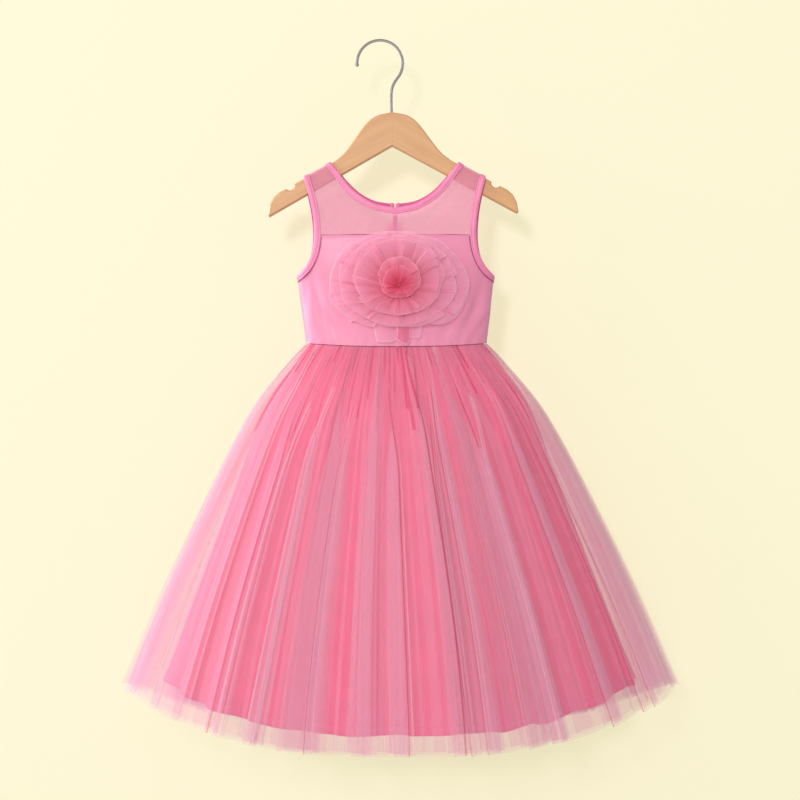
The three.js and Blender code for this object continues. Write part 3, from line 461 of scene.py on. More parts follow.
def petal_material(name, alpha, light=0.0):
    """Ruffle tulle: deeper pink towards the middle of the rosette, paler outwards."""
    def paint(tree, coord):
        middle, squeeze, share = (0.0221, -0.045, -0.293), (1, 0, 1.15), 12.0
        off = add_node(tree, "VectorMath", {0: coord["Object"], 1: middle}, operation="SUBTRACT")
        flat = add_node(tree, "VectorMath", {0: off.outputs[0], 1: squeeze}, operation="MULTIPLY")
        far = add_node(tree, "VectorMath", {0: flat.outputs[0]}, operation="LENGTH")
        reach = add_node(tree, "Math", {0: far.outputs["Value"], 1: share}, operation="MULTIPLY")
        # light lifts the colours towards white, as a painted highlight
        stops = [(place, lin(*(v + (255 - v) * light for v in color))) for place, color in PETAL_STOPS]
        return add_ramp(tree, reach.outputs[0], stops)
    return material(name, paint, alpha=alpha, spec=0.12)


SATIN = material("satin", lin(236, 145, 176), rough=0.4, sheen=0.3, spec=0.45, vary=0.03, vary_scale=35,
                 weave=900, relief=0.05, bump_noise=220)
LINING = material("lining_satin", lin(236, 52, 112), rough=0.5, sheen=0.1, spec=0.25, vary_scale=45,
                  weave=700, relief=0.06, bump_noise=180)
NET = material("net", lin(244, 152, 188), rough=0.85, alpha=0.52, spec=0.1, vary=0.02, vary_scale=220,
               weave=1500, relief=0.1)
BIND = material("binding", lin(242, 138, 178), rough=0.45, sheen=0.2, spec=0.4, vary_scale=90, weave=1200)
# The binding's inner leaf: the same satin, painted darker as shade
BIND_SHADE = material("binding_inner_leaf_painted_shade", lin(222, 104, 156), rough=0.6, sheen=0.1, spec=0.25, vary_scale=90,
                   weave=1200)
TULLE = net_material("tulle", lin(238, 186, 205), lin(232, 158, 186), 0.155, sheen=0.8)
TULLE_IN = net_material("tulle_under", lin(234, 180, 200), lin(228, 157, 183), 0.12, sheen=0.7)
# Paler, denser tulle for the fold crests: denser for the doubled cloth, paler as a painted highlight
TULLE_CREST_HIGHLIGHT = net_material("tulle_fold_painted_highlight", lin(250, 208, 224), lin(246, 196, 214), 0.28, sheen=0.6)
# Deep pink for the creases and the valleys of the fine gathers: painted shade
TULLE_CREASE_SHADE = net_material("tulle_crease_painted_shade", lin(220, 56, 104), lin(210, 46, 96), 0.27)
PETAL = petal_material("ruffle_tulle", 0.4)
# The highlight materials are paler copies of the ruffle tulle: a painted highlight on rims and sharp folds
PETAL_HIGHLIGHT = petal_material("ruffle_edge_painted_highlight", 0.36, light=0.42)
HEART = petal_material("rosette_heart", 0.54)
HEART_HIGHLIGHT = petal_material("rosette_heart_painted_highlight", 0.5, light=0.3)
FLAP = material("ruffle_end_tulle", lin(236, 122, 156), alpha=0.5, spec=0.12, vary_scale=150, weave=1200)
# Paler copy for the edges of the loose ends: a painted highlight
FLAP_HIGHLIGHT = material("ruffle_end_painted_highlight", lin(252, 178, 202), alpha=0.5, spec=0.12, vary=0.03, vary_scale=150)
# Painted shade for the thin gaps at the seams
SHADE = material("seam_painted_shade", lin(150, 62, 104), rough=0.9, spec=0.1, vary=0.05)
THREAD = material("thread", lin(232, 118, 166), rough=0.6, sheen=0.2, vary=0.03, vary_scale=400)
TAPE = material("zip_tape_weave", lin(246, 156, 190), rough=0.7, alpha=0.45, weave=1500, relief=0.2)
WIRE = material("hook_wire", lin(176, 172, 174), rough=0.3, metallic=1.0, vary=0.05, vary_scale=500,
                bump_noise=900, relief=0.06)
PULL = material("painted_metal_pull", lin(248, 172, 204), rough=0.35, vary_scale=500, bump_noise=700,
                relief=0.05, coat=0.3)

hard = (("hanger_board", wood_material()), ("hanger_hook", WIRE), ("zip_slider", PULL), ("zip_pull", PULL))
for node, painted in hard:
    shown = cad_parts[node].data
    shown.materials.clear()
    shown.materials.append(painted)
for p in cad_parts["hanger_hook"].data.polygons:
    p.use_smooth = True

# Bodice and yokes
neck_seam = {s: moved_in(neckline(s), UNDER, s, 1) for s in SIGN}
arm_seam = {s: moved_in(armhole(s), UNDER, s, -1) for s in SIGN}


def panel_half(side, z):
    """Half the width of a panel, from the middle to its armhole or side seam."""
    line = arm_seam[side]
    z = np.asarray(z, float)
    inside = np.interp(-z, -line[:, 1], line[:, 0])
    return np.where(z <= line[-1, 1], half_at(z), inside)


def mirrored(shares, signs):
    """Shares of the half-width for one half of a panel or for both."""
    if len(signs) == 2:
        return np.concatenate([-shares[:0:-1], shares])
    return shares if signs[0] > 0 else -shares[::-1]


def cut_middle(x, s, gap):
    """Moves the centre column off the middle where the panel ends at the zip."""
    return np.where(np.abs(s)[None] < 1e-9, gap, x) if gap else x


def yoke_grid(side, signs, gap=0.0):
    line = neck_seam[side]
    shares = line[:, 0] / panel_half(side, line[:, 1])
    s = mirrored(np.concatenate([shares, np.linspace(shares[-1], 1, 12)[1:]]), signs)
    # The cloth turns over the board within a few millimetres, so the rows are close together there
    t = np.concatenate([np.linspace(0, 1, 12)[:-1] ** 2 * 0.12, np.linspace(0.12, 1, 26)])
    over = np.full_like(s, line[-1, 1])
    for _ in range(12):
        over = shoulder_z(np.abs(s) * panel_half(side, over))
    top = np.where(np.abs(s) > shares[-1], over, np.interp(np.abs(s), shares, line[:, 1]))
    z = top[None] + (YOKE_Z - YOKE_TUCK - top[None]) * t[:, None]
    x = cut_middle(s[None] * panel_half(side, z), s, gap)
    p = on_body(side, x, z)
    p[..., 1] += SIGN[side] * YOKE_SLACK * np.sin(x / 17 + z / 23) * smooth(top[None] - z, 8, 30)
    return p


def bodice_grid(side, signs, gap=0.0):
    s = mirrored(1 - (1 - np.linspace(0, 1, 40)) ** 1.3, signs)
    zs = np.concatenate([[YOKE_Z + 0.1, YOKE_Z], np.linspace(YOKE_Z - 1.2, WAIST_Z, 56)])
    x = s[None] * panel_half(side, zs)[:, None]
    down = np.clip((zs - YOKE_Z) / (WAIST_Z - YOKE_Z), 0, 1)[:, None]
    z = zs[:, None] + down ** 3 * (waist_z(x) - WAIST_Z)
    x = cut_middle(x, s, gap)
    # Soft troughs down from each underarm, short puckers above the waist and a pull towards the rosette
    trough = np.zeros_like(x)
    for cx, cz, angle, length, width, depth in TROUGHS[side]:
        dx, dz = x - cx, z - cz
        a = dx * math.cos(angle) + dz * math.sin(angle)
        b = -dx * math.sin(angle) + dz * math.cos(angle)
        trough += depth * np.exp(-(a / length) ** 2 - (b / width) ** 2)
    pucker = 0.45 * np.sin(x * 0.62 + 1.3 * np.sin(x * 0.11)) * smooth(down, 0.9, 1.0) * (down < 0.999)
    edge = 0.9 * (1 - smooth(YOKE_Z - z, 0, 3.0))
    lift = np.full_like(x, 0.35) + edge - trough + pucker
    lift[0] = 0.1
    g = off_body(side, x, np.minimum(z, YOKE_Z + 0.1), lift)
    g[..., 1] = SIGN[side] * np.maximum(SIGN[side] * g[..., 1], 0.02)
    return g


yoke_front = make("net_yoke_front", [strip(yoke_grid("front", (-1, 1)))], [NET])
cloth(["front_yoke"])
bodice_front = make("satin_bodice_front", [strip(bodice_grid("front", (-1, 1)))], [SATIN])
cloth(["bodice_front"])
for side_name, sg in SIDES:
    half_gap = sg * ZIP_GAP / 2
    y = make("net_yoke_back_" + side_name, [strip(yoke_grid("back", (sg,), half_gap))], [NET])
    cloth(["back_yoke_" + side_name])
    b = make("satin_bodice_back_" + side_name, [strip(bodice_grid("back", (sg,), half_gap))], [SATIN])
    cloth(["bodice_back_" + side_name])


# Bindings
def beside(rows, loop):
    """The rows that follow and come before each row."""
    if loop:
        return np.roll(rows, -1, 0), np.roll(rows, 1, 0)
    return np.concatenate([rows[1:], rows[-1:]]), np.concatenate([rows[:1], rows[:-1]])


def leaf_marks(grid, n):
    """1 on the leaf of a binding that faces into the dress, judged where it runs behind the middle; that leaf
    is painted darker as shade.
    """
    turned = np.where(n[grid[:, MIDDLE, 1] > 0, MIDDLE, 1] > 0, 1, -1).sum()
    marks = np.zeros(grid.shape[:2], int)
    marks[:, slice(None, len(LEAF)) if turned < 0 else slice(len(LEAF), None)] = 1
    return marks


def binding_grid(lines, loop):
    """lines: side, finished edge, seam direction and sign, in order. Rows run along, a U section across."""
    dist, thick = np.array(LEAF + [(0.0, 0.0)]).T
    rows = []
    for side, line, inner, sign in lines:
        d = (inner - line) / BINDING
        pts = line[:, None] + d[:, None] * dist[None, :, None]
        p = on_body(side, np.minimum(pts[..., 0], half_at(pts[..., 1]) - 1e-6), pts[..., 1])
        p[..., 0] *= sign
        rows.append(p)
    mid = np.concatenate(rows)
    mid = mid[[0] + [i for i in range(1, len(mid)) if np.linalg.norm(mid[i, 0] - mid[i - 1, 0]) > 1e-6]]
    if loop and np.linalg.norm(mid[0, 0] - mid[-1, 0]) < 1e-6:
        mid = mid[:-1]
    after, before = beside(mid, loop)
    across = np.empty_like(mid)
    across[:, 1:-1] = mid[:, 2:] - mid[:, :-2]
    across[:, 0], across[:, -1] = mid[:, 1] - mid[:, 0], mid[:, -1] - mid[:, -2]
    n = np.cross(after - before, across)
    n /= np.maximum(np.linalg.norm(n, axis=-1, keepdims=True), 1e-9)
    for _ in range(2):
        after, before = beside(n, loop)
        n = unit(n + (before + after))
    proud = n * thick[None, :, None]
    return np.concatenate([mid + proud, (mid - proud)[:, -2::-1]], 1), mid, n


def arm_lines(sign):
    front, back = armhole("front"), armhole("back")
    inner_front, inner_back = (moved_in(armhole(s), BINDING, s, -1) for s in SIGN)
    return [("front", front, inner_front, sign), ("back", back[::-1], inner_back[::-1], sign)]


def neck_lines():
    front, back = neckline("front"), neckline("back")
    inner_front, inner_back = (moved_in(neckline(s), BINDING, s, 1) for s in SIGN)
    back[0, 0] = inner_back[0, 0] = ZIP_GAP / 2
    return [("back", back, inner_back, -1), ("front", front[::-1], inner_front[::-1], -1),
            ("front", front, inner_front, 1), ("back", back[::-1], inner_back[::-1], 1)]


def stitches(name, lines, normals, spacing=2.6, length=1.9, thick=0.34):
    """Short raised stitches along lines of points, all in one mesh."""
    verts, faces = [], []
    for pts, nrm in zip(lines, normals):
        run = run_of(pts)
        for a in np.arange(spacing / 2, run[-1] - length, spacing):
            middle = a + length / 2
            ps = [np.array([np.interp(v, run, pts[:, k]) for k in range(3)]) for v in (a, middle, a + length)]
            out = unit(np.array([np.interp(middle, run, nrm[:, k]) for k in range(3)]))
            across = np.cross(out, unit(ps[2] - ps[0]))
            base = len(verts)
            for p, k, wide in zip(ps, (0.35, 1.0, 0.35), (1, 1.3, 1)):
                centre = p + out * (thick * 0.2 * k)
                for corner in (0, math.pi / 2, math.pi, 3 * math.pi / 2):
                    way = across * math.cos(corner) + out * math.sin(corner)
                    verts.append(centre + way * thick * k * 0.5 * wide)
            for i in (base, base + 4):
                faces.extend((i + j, i + (j + 1) % 4, i + 4 + (j + 1) % 4, i + 4 + j) for j in range(4))
            faces.append((base + 3, base + 2, base + 1, base))
            faces.append((base + 8, base + 9, base + 10, base + 11))
    uvs, mats = np.zeros((len(faces), 4, 2)), np.zeros(len(faces), int)
    return make(name, [(np.array(verts), np.array(faces), uvs, mats)], [THREAD])


def binding(place, lines, loop):
    """The folded strip, its stitches and its length in metres."""
    g, mid, n = binding_grid(lines, loop)
    part = strip(np.swapaxes(g, 0, 1), loop=loop, mat=leaf_marks(g, n).T)
    ob = make("binding_" + place, [part], [BIND, BIND_SHADE])
    path = closed(mid) if loop else mid
    length = float(np.linalg.norm(np.diff(path[:, MIDDLE], axis=0), axis=-1).sum()) * MM
    st = stitches("stitches_" + place, [g[:, DITCH], g[:, -1 - DITCH]], [n[:, DITCH], -n[:, DITCH]])
    return ob, st, length


for side_name, sg in SIDES:
    ob, st, length = binding("armhole_" + side_name, arm_lines(sg), True)
    cloth(["armhole_binding_" + side_name])
neck, st, length = binding("neck", neck_lines(), False)

# The two folded ends of the binding at the centre back
knobs = []
for sg in (-1, 1):
    rows = []
    for t in np.linspace(0, 1, 9):
        z = KNOB_TOP - KNOB_LONG * t
        r = KNOB_DEEP * (1 - abs(2 * t - 1) ** 4) ** 0.5 + 0.05
        wide = KNOB_WIDE * (0.4 + 0.6 * r / (KNOB_DEEP + 0.05))
        y = float(on_body("back", 1.0, min(z, NECK["back"][0][1]))[1]) - 0.6
        rows.append([[sg * (ZIP_GAP / 2 + KNOB_X) + wide * math.cos(a), y + r * math.sin(a), z]
                     for a in np.linspace(0, 2 * math.pi, 13)[:-1]])
    knobs.append(strip(np.array(rows), loop=True))
ends = make("binding_neck_ends", knobs, [BIND])
cloth(["neck_binding"])

# Zip tape behind the centre-back opening
zs = np.linspace(TAPE_TOP, float(waist_z(0)), 40)
tape = on_body("back", np.linspace(-TAPE_HALF, TAPE_HALF, 13)[None], zs[:, None])
tape[..., 1] -= TAPE_IN
tape = make("zip_tape_cloth", [strip(tape)], [TAPE])
cloth(["zip_tape"])


# Skirts
def skirt_base(rings, lengths, rows):
    """Reach and height of each row at the side, the front and the back, from the cloth between the rows."""
    down = np.linspace(0, 1, rows) ** 1.3
    cols = {k: table(rings, i)(down) for i, k in enumerate(("side", "front", "back", "gather"), 1)}
    height = {}
    for k in SIDE_FRONT_BACK:
        step = np.diff(down) * lengths[k]
        dz = np.sqrt(np.maximum(step ** 2 - np.diff(cols[k]) ** 2, 0.01))
        top = WAIST_Z if k == "side" else WAIST_Z - WAIST_SAG
        height[k] = -SKIRT_DROP + top - np.concatenate([[0], np.cumsum(dz)])
    return down, cols, height


def oval_path(side, front, back, count=1440):
    """Points round the whole oval and the length run so far; starts at +X and goes over the back."""
    a = np.linspace(0, 2 * math.pi, count + 1)
    c, s = np.cos(a), np.sin(a)
    x = side * np.sign(c) * np.abs(c) ** (2 / POWER)
    y = np.where(s >= 0, back, front) * s
    run = np.concatenate([[0], np.cumsum(np.hypot(np.diff(x), np.diff(y)))])
    return x, y, run


def fold_columns(lean, way):
    """Phases across one fold, the marks between them, and the column of its crease.

    The cloth turns back at the crest and again under the next fold.
    """
    turn = math.acos(-1 / (2 * math.pi * lean)) if lean * 2 * math.pi > 1.02 else math.pi - 0.3
    crest, inner = (turn, 2 * math.pi - turn) if way > 0 else (math.pi - turn, math.pi + turn)
    rise = np.array([0.0])
    if crest > CREST_RIM + 0.1:
        rise = np.linspace(0, crest - CREST_RIM, RISE_COLUMNS)
    top = np.linspace(crest + CREST_RIM, inner - 0.1, TOP_COLUMNS)
    under = np.linspace(inner + 0.1, 2 * math.pi, UNDER_COLUMNS + 1)[:-1]
    phase = np.concatenate([rise, [crest - CREST_RIM / 2, crest], top, under])
    mark = np.full(len(phase), PLAIN)
    mark[len(rise) - 1:len(rise) + 1] = CREASE
    mark[len(rise) + 1] = CREST
    return phase, mark, len(rise)


def gathered(rings, lengths, rows, folds, seed, lean_range, scale, begin, fine, hem, ruck, spread=(0.4, 1.7),
             inset=0.0, swell=1.0, shift=0.3, nest=0.0):
    """A full skirt layer. Its folds lean over, so that the cloth laps over itself, and grow downwards."""
    r = np.random.default_rng(seed)
    down, cols, height = skirt_base(rings, lengths, rows)
    widths = r.uniform(*spread, folds)
    edges = np.concatenate([[0], np.cumsum(widths / widths.sum())])
    lean = r.uniform(*lean_range, folds)
    way = np.where(r.uniform(0, 1, folds) < LEFT_SHARE, -1.0, 1.0)
    amp, start, drift = r.uniform(0.6, 1.2, folds), r.uniform(*begin, folds), r.uniform(-SWAY, SWAY, folds)
    columns = []
    for i in range(folds):
        phase, mark, at = fold_columns(lean[i], way[i])
        # Some folds show a crease beside the crest line, painted as shade, and a few have no painted line at
        # all
        creased, lined = r.uniform() < CREASED_SHARE, r.uniform() < LINED_SHARE
        mark[mark == CREASE] = CREASE if creased and lined else CREST if lined else PLAIN
        mark[mark == CREST] = CREST if lined else PLAIN
        peep = np.zeros(len(phase))
        peep[at] = -way[i] * creased * lined
        w = edges[i + 1] - edges[i]
        columns.append((edges[i] + w * phase / (2 * math.pi), phase, np.full(len(phase), w),
                        np.full(len(phase), i), mark, peep))
    share, phase, width, index, mark, peep = (np.concatenate(v) for v in zip(*columns))
    lean, amp, start, drift, way = lean[index], amp[index], start[index], drift[index], way[index]
    tilt = np.cumsum(r.uniform(-1, 1, folds))
    tilt = (tilt - np.linspace(tilt[0], tilt[-1], folds))[index]
    lap = 2 * math.pi * share
    wave = sum(r.uniform(0.5, 1) * np.sin(lap * k + r.uniform(0, 6.28)) for k in (9, 14, 23)) / 2
    grid = np.zeros((rows, len(share), 3))
    fine_phase = lap * fine + 1.7 * np.sin(lap * 17) + 1.1 * np.sin(lap * 31)
    fine_long = 0.14 + 0.12 * np.sin(lap * 41 + 1.0)
    for i, t in enumerate(down):
        side, front, back = (cols[k][i] - inset * (0.12 + 0.88 * t) for k in SIDE_FRONT_BACK)
        x, y, run = oval_path(side, front, back)
        total = run[-1]
        grow = smooth(t, start - 0.02, start + 0.24)
        s = share + nest + drift * width * math.sin(2.4 * t) + width * lean * way * np.sin(phase) * grow
        gone = 1 - smooth(t, 0.0, fine_long)
        if fine:
            s = s + shift / fine * np.sin(fine_phase) * gone
        s = ((s - peep * grow * CREASE_WIDTH / total) % 1.0) * total
        px, py = np.interp(s, run, x), np.interp(s, run, y)
        on, off = (s + 2) % total, (s - 2) % total
        nx = np.interp(off, run, y) - np.interp(on, run, y)
        ny = np.interp(on, run, x) - np.interp(off, run, x)
        size = np.hypot(nx, ny) * np.where(nx * px + ny * py < 0, -1, 1)
        w = cols["gather"][i] * scale * amp * (0.35 + 0.65 * grow) * np.sin(phase)
        if fine:
            w = w * (1 - 0.6 * gone) + ruck * np.sin(fine_phase + 0.7) * gone * min(1, 0.4 + t / 0.03)
        w = w + wave * 3.0 * t * swell
        full = np.where(py < 0, (py / front) ** 2, (py / back) ** 2)
        deep = np.where(py < 0, height["front"][i], height["back"][i])
        z = height["side"][i] + (deep - height["side"][i]) * full
        z = z + t * t * t * hem * (wave + 0.8 * np.sin(phase) * way + 0.35 * tilt)
        grid[i] = np.stack([px + nx / size * w, py + ny / size * w, z], -1)
    # A fold that starts lower down has no crease above that; the valleys of the fine gathers take the crease
    # mark, painted as shade
    marks = np.where(down[:, None] < start + 0.02, PLAIN, mark)
    if fine:
        valley = np.sin(fine_phase + 0.7) < -0.72
        depth = fine_long * (0.25 + 0.75 * np.abs(np.sin(fine_phase / 2 + 2.3 * share * 100)))
        marks[valley & (down[:, None] < depth)] = CREASE
    return grid, marks


# Plain, crest and crease materials of each layer: painted highlight on the crests of the top two layers,
# painted shade in the creases of the top layer
SKIRT_LOOKS = [[TULLE, TULLE_CREST_HIGHLIGHT, TULLE_CREASE_SHADE], [TULLE_IN, TULLE_CREST_HIGHLIGHT, TULLE_IN]]
SKIRT_LOOKS += 2 * [[TULLE_IN, TULLE, TULLE_IN]]
for k, row in enumerate(SKIRTS):
    name, folds, seed, lean_range, inset, shorter, scale, fine, spread, ruck, nest, rows, hem = row
    lengths = {place: long - shorter for place, long in TULLE_LONG.items()}
    grid, marks = gathered(TULLE_RINGS, lengths, rows, folds, seed, lean_range, scale, TULLE_START, fine,
                           hem, ruck, spread=spread, inset=inset, nest=nest)
    ob = make(name, [strip(grid, loop=True, mat=marks)], SKIRT_LOOKS[k])
    ob.visible_shadow = k == 0
    cloth(["tulle_skirt_front", "tulle_skirt_back"] if k == 0 else ())

grid, _ = gathered(LINING_RINGS, LINING_LONG, *LINING_FOLDS, swell=0.8, shift=0.05)
lining = make("lining_skirt", [strip(grid, loop=True)], [LINING])
cloth(["lining_skirt_front", "lining_skirt_back"])

# The hem of the lining: a doubled edge with its stitch line
edge = grid[-1]
fall = unit(edge - grid[-2])
outward = unit(np.cross(fall, np.roll(edge, -1, 0) - np.roll(edge, 1, 0)))
outward *= np.where((outward[:, :2] * edge[:, :2]).sum(-1) < 0, -1, 1)[:, None]
rows = [edge - fall * up + outward * out for up, out in HEM_SECTION]
hem = make("lining_hem", [strip(np.array(rows), loop=True)], [LINING])
line = edge - fall * HEM_STITCH[0] + outward * HEM_STITCH[1]
st = stitches("stitches_lining_hem", [closed(line)], [closed(outward)], spacing=3.4, length=2.6, thick=0.5)
cloth()


# Rosette
def pleat_grid(row, angle, start, end, width):
    """A pressed pleat of a ruffle, narrow at the heart and wider at the rim; one edge has a painted
    highlight.
    """
    _, _, sewn, _, out_sewn, free, free_z, out_free, right, up = row[:10]
    u, v = np.meshgrid(np.linspace(-1, 1, 7), np.linspace(0, 1, 16))
    reach = start + (end - start) * v
    t = (reach - sewn) / (free - sewn)
    shift = t * t * (3 - 2 * t)
    half = abs(width) / 2 * (0.12 + 0.88 * v)
    c, s = math.cos(angle * DEGREE), math.sin(angle * DEGREE)
    x = RX + right * shift + reach * c - u * half * s
    z = RZ + up * shift + reach * s * free_z / free + u * half * c
    height = out_sewn + (out_free - out_sewn) * t ** 0.8 + 4 * t * (1 - t) + 1.5 + 0.8 * u * np.sign(width)
    marks = np.zeros(u.shape, int)
    marks[:, -2 if width > 0 else 0] = 1
    return off_body("front", x, z, height), marks


def ruffle_grid(row, seed):
    """One gathered ring of tulle with its larger folds; marks are 1 on sharp folds and on the rim, where a
    highlight is painted.
    """
    name, layer, sewn_x, sewn_z, sewn_out, free_x, free_z, free_out, right, up, gathers, _, _ = row
    r = np.random.default_rng(seed)
    n = gathers * COLUMNS_A_GATHER
    turn = np.arange(n) / n * 2 * math.pi
    bent = turn + 0.35 * np.sin(3 * turn + r.uniform(0, 6.28)) / gathers * 3
    bent = bent + 0.2 * np.sin(7 * turn + r.uniform(0, 6.28)) / gathers * 3
    phase = bent * gathers
    gather = (np.floor(phase / (2 * math.pi)).astype(int)) % gathers
    amp = r.uniform(0.35, 1.4, gathers)[gather]
    keep = r.uniform(0.05, 0.5, gathers)[gather]
    wave = sum(r.uniform(0.5, 1.0) * np.sin(k * turn + r.uniform(0, 6.28)) for k in (3, 5, 8, 11)) / 2.0
    bulge = sum(r.uniform(0.4, 1.0) * np.sin(k * turn + r.uniform(0, 6.28)) for k in (2, 3, 5, 8, 12)) / 2.4
    push, lift, crisp = np.zeros(n), np.zeros(n), np.zeros(n, bool)
    for angle, wide, over, way in FOLDS[name + layer]:
        x = ((turn - angle * DEGREE + math.pi) % (2 * math.pi) - math.pi) / (wide * DEGREE)
        push -= over * wide * DEGREE * x * np.exp(-x * x)
        lift += way * 2.6 * x * np.exp(-x * x)
        crisp |= (over >= CRISP) & (np.abs(x) < 1.2)
    grid = np.zeros((RUFFLE_ROWS, n, 3))
    ts = np.append(np.linspace(0, 1, RUFFLE_ROWS - 1) ** 0.9 * (1 - 0.7 / (free_x - sewn_x)), 1.0)
    pitch = math.pi * (free_x + free_z + sewn_x + sewn_z) / 2 / gathers
    for i, t in enumerate(ts):
        uneven = bulge * t * (0.08 if name == "ruffle_inner" else 0.045)
        rx = sewn_x + (free_x - sewn_x) * t + uneven * free_x
        rz = sewn_z + (free_z - sewn_z) * t + uneven * free_z
        if name == "ruffle_outer":
            rz = rz * (1 - LOW_CUT * t * np.exp(-((turn - 1.5 * math.pi) / 0.7) ** 2))
        g = (keep + (1 - keep) * (1 - t) ** 1.2) * min(1, 0.25 + 4 * t) * (1 - 0.6 * smooth(t, 0.85, 1.0))
        a = turn + push * (0.25 + 0.75 * t) + 0.33 * 2 * math.pi / gathers * np.sin(phase) * g
        h = sewn_out + (free_out - sewn_out) * t ** 0.8 + 4 * t * (1 - t)
        h = h + np.sin(phase + 0.9) * amp * g * min(pitch * 0.3, 2.3) + wave * 1.2 * t + lift * t
        shift = t * t * (3 - 2 * t)
        x, z = RX + right * shift + rx * np.cos(a), RZ + up * shift + rz * np.sin(a)
        grid[i] = off_body("front", x, z, np.maximum(h, 1.0))
    marks = np.zeros((RUFFLE_ROWS, n), int)
    marks[RUFFLE_ROWS // 3:, (np.abs(np.gradient(np.unwrap(turn + push), turn)) < 0.25) & crisp] = 1
    marks[-2:] = 1
    return grid, marks


mats = [PETAL, PETAL_HIGHLIGHT, HEART, HEART_HIGHLIGHT]
for i, row in enumerate(RUFFLES):
    grid, marks = ruffle_grid(row, RUFFLE_SEED + i)
    parts = [strip(grid, loop=True, mat=marks)]
    if row[:2] == ("ruffle_second", "b"):
        for pleat in PLEATS:
            grid, marks = pleat_grid(row, *pleat)
            parts.append(strip(grid, mat=marks))
    ob = make("%s_tulle_%s" % row[:2], parts, [mats[row[-2]], mats[row[-1]]])
    cloth([row[0]] if row[1] == "a" else ())

# The rolled strip at the middle starts tight and opens into a loose cup
rows = []
for up in np.linspace(0, 1, ROLL_ROWS):
    t = np.arange(ROLL_STEPS + 1) / ROLL_STEPS
    a = 2 * math.pi * ROLL_TURNS * t + 0.6
    rad = (1.0 + 8.0 * t ** 0.85) * (0.66 + 0.5 * up ** 1.5) + 0.6 * np.sin(7 * 2 * math.pi * t) * t
    top = 18.2 - 1.2 * t + 1.0 * np.sin(11 * t + 1)
    x, z = RX - 0.6 + rad * np.cos(a), RZ + 3.5 * up + rad * 0.95 * np.sin(a)
    rows.append(off_body("front", x, z, ROLL_FOOT + (top - ROLL_FOOT) * up))
grid = np.array(rows)
# The rim of the rolled strip takes the paler material, a painted highlight
marks = np.zeros(grid.shape[:2], int)
marks[-2:] = 1
# The tucked end of the strip closes the middle a little below its rim
rings = np.linspace(0.05, 5.4, 6)[:, None]
around = np.linspace(0, 2 * math.pi, 25)[None, :-1]
tuck = off_body("front", RX - 0.6 + rings * np.cos(around), RZ + 3.0 + rings * np.sin(around),
                16.4 - 0.09 * rings ** 2 + 0.5 * np.sin(3 * around + rings))
bud = make("rosette_rolled_middle", [strip(grid, mat=marks), strip(tuck, loop=True)], [HEART, HEART_HIGHLIGHT])
cloth(["rosette_bud"])

# Loose ends of the tulle strips below the ruffles
for k, (place_x, place_z, width, length, turn, out, spread, first) in enumerate(ENDS):
    u, v = np.meshgrid(np.linspace(-1, 1, 19), np.concatenate([np.linspace(0, 0.96, 14), [1.0]]))
    x0 = u * width / 2 * (1 + (spread - 1) * v)
    z0 = -length * v * (1 - 0.1 * u * u + 0.03 * np.sin(3 * u + k))
    c, s = math.cos(turn * DEGREE), math.sin(turn * DEGREE)
    x = place_x + x0 * c - z0 * s
    z = place_z + x0 * s + z0 * c
    height = out + 1.0 * np.cos(u * 2.6 + k) * v + 0.6 * np.sin(3.1 * v + u * 2)
    marks = np.full(u.shape, first)
    # The side edges and the end take the paler material, a painted highlight
    marks[:, 0] = marks[:, -2] = first + 1
    marks[-2:] = first + 1
    grid = off_body("front", x, np.maximum(z, WAIST_Z - 3.0), height)
    ob = make("rosette_end_%d" % (k + 1), [strip(grid, mat=marks)], [FLAP, FLAP_HIGHLIGHT, PETAL, PETAL_HIGHLIGHT])
    cloth()

# Thin strips of painted shade where the satin meets the armhole binding and the yoke
parts = []
for side in SIGN:
    for sg in (1, -1):
        line = armhole(side)
        below = line[:, 1] < YOKE_Z + 2
        rows = []
        for distance in (GAP_INNER, GAP_OUTER):
            q = moved_in(line, distance, side, -1)[below]
            x = np.minimum(q[:, 0], half_at(q[:, 1]) - 1e-6)
            p = off_body(side, x, np.minimum(q[:, 1], YOKE_Z), 1.05)
            p[:, 0] *= sg
            rows.append(p)
        parts.append(strip(np.array(rows)))
for side in SIGN:
    reach = float(panel_half(side, YOKE_Z)) - 5.0
    x = np.linspace(-reach, reach, 81)
    for run in ([x] if side == "front" else [x[x < -2], x[x > 2]]):
        z = np.array([YOKE_Z + 0.75, YOKE_Z + 0.1])[:, None] + 0.25 * np.sin(run / 9)[None]
        parts.append(strip(off_body(side, np.tile(run, (2, 1)), z, 0.55)))
gap = make("painted_shade_seam_lines", parts, [SHADE])


# Stage, lights and camera
def plane(name, corners, mat):
    mesh = bpy.data.meshes.new(name)
    mesh.from_pydata(corners, [], [(0, 1, 2, 3)])
    mesh.materials.append(mat)
    ob = bpy.data.objects.new(name, mesh)
    bpy.context.scene.collection.objects.link(ob)
    ob.visible_diffuse = False
    return ob


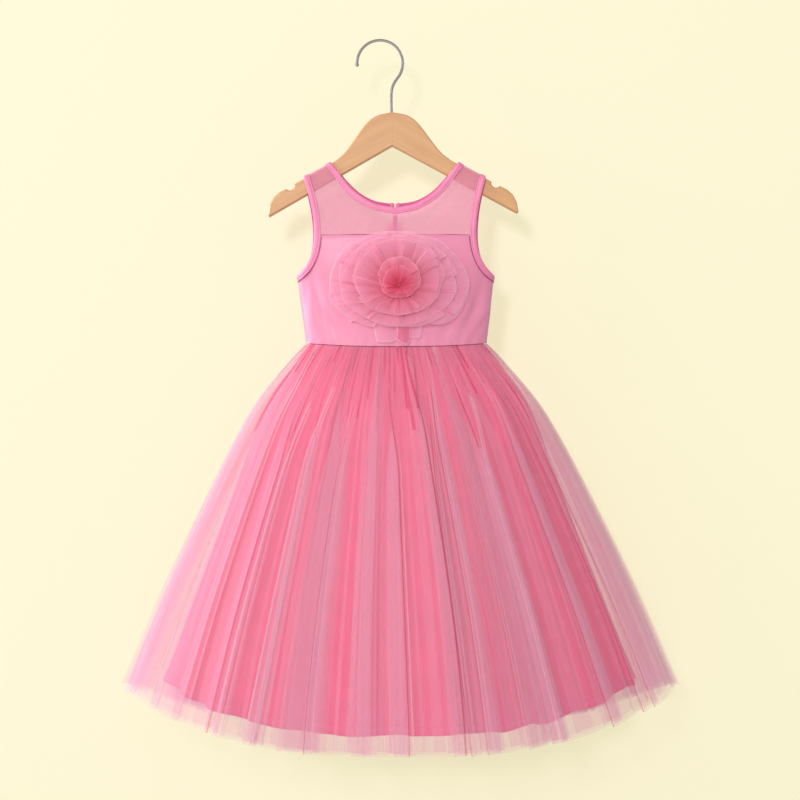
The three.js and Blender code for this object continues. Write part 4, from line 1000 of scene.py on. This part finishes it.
def pale(name, glow, lit, strength):
    """A matt pale surface that keeps an even tone and still takes a soft shadow."""
    made, tree, surface = new_material(name)
    fill(tree, surface, {"Base Color": lit, "Roughness": 1.0, "Specular IOR Level": 0.0,
                         "Emission Color": glow, "Emission Strength": strength})
    return made, tree, surface


wall_mat, tree, surface = pale("pale_wall", (0.69, 0.65, 0.41, 1), (0.29, 0.28, 0.265, 1), 1.0)
floor_mat, _, _ = pale("pale_floor", lin(252, 246, 228), lin(214, 204, 188), 0.12)
left, right, foot = (-WALL_HALF, WALL_Y), (WALL_HALF, WALL_Y), FLOOR_Z
wall = plane("wall", [(*left, foot), (*right, foot), (*right, WALL_TOP), (*left, WALL_TOP)], wall_mat)
wall.visible_shadow = False
wall.visible_glossy = False
corners = [(x * FLOOR_HALF, y * FLOOR_HALF, foot) for x, y in ((-1, -1), (1, -1), (1, 1), (-1, 1))]
plane("floor", corners, floor_mat)
# Seen from behind, the wall is clear, so that the back of the dress shows
geometry = add_node(tree, "NewGeometry", {})
clear = add_node(tree, "BsdfTransparent", {})
behind = geometry.outputs["Backfacing"]
mixer = add_node(tree, "MixShader", {0: behind, 1: surface.outputs[0], 2: clear.outputs[0]})
fill(tree, tree.nodes["Material Output"], {"Surface": mixer.outputs[0]})

scene = bpy.context.scene
for name, place, size, power, color in LIGHTS:
    data = bpy.data.lights.new(name, "AREA")
    data.shape, data.size, data.energy, data.color = "DISK", size, power, color
    ob = bpy.data.objects.new(name, data)
    ob.location = place
    ob.rotation_euler = (Vector(CENTRE) - Vector(place)).to_track_quat("-Z", "Y").to_euler()
    scene.collection.objects.link(ob)
world = bpy.data.worlds.new("studio")
world.use_nodes = True
fill(world.node_tree, world.node_tree.nodes["Background"], {0: lin(252, 248, 250), 1: WORLD_GLOW})
scene.world = world

camera_data = bpy.data.cameras.new("camera")
camera_data.lens, camera_data.sensor_width = CAMERA_LENS, CAMERA_SENSOR
camera = bpy.data.objects.new("camera", camera_data)
camera.location = CAMERA_AT
camera.rotation_euler = (math.pi / 2, 0, 0)
scene.collection.objects.link(camera)
scene.camera = camera
scene.view_settings.view_transform = "Standard"
scene.cycles.transparent_max_bounces = CLEAR_BOUNCES
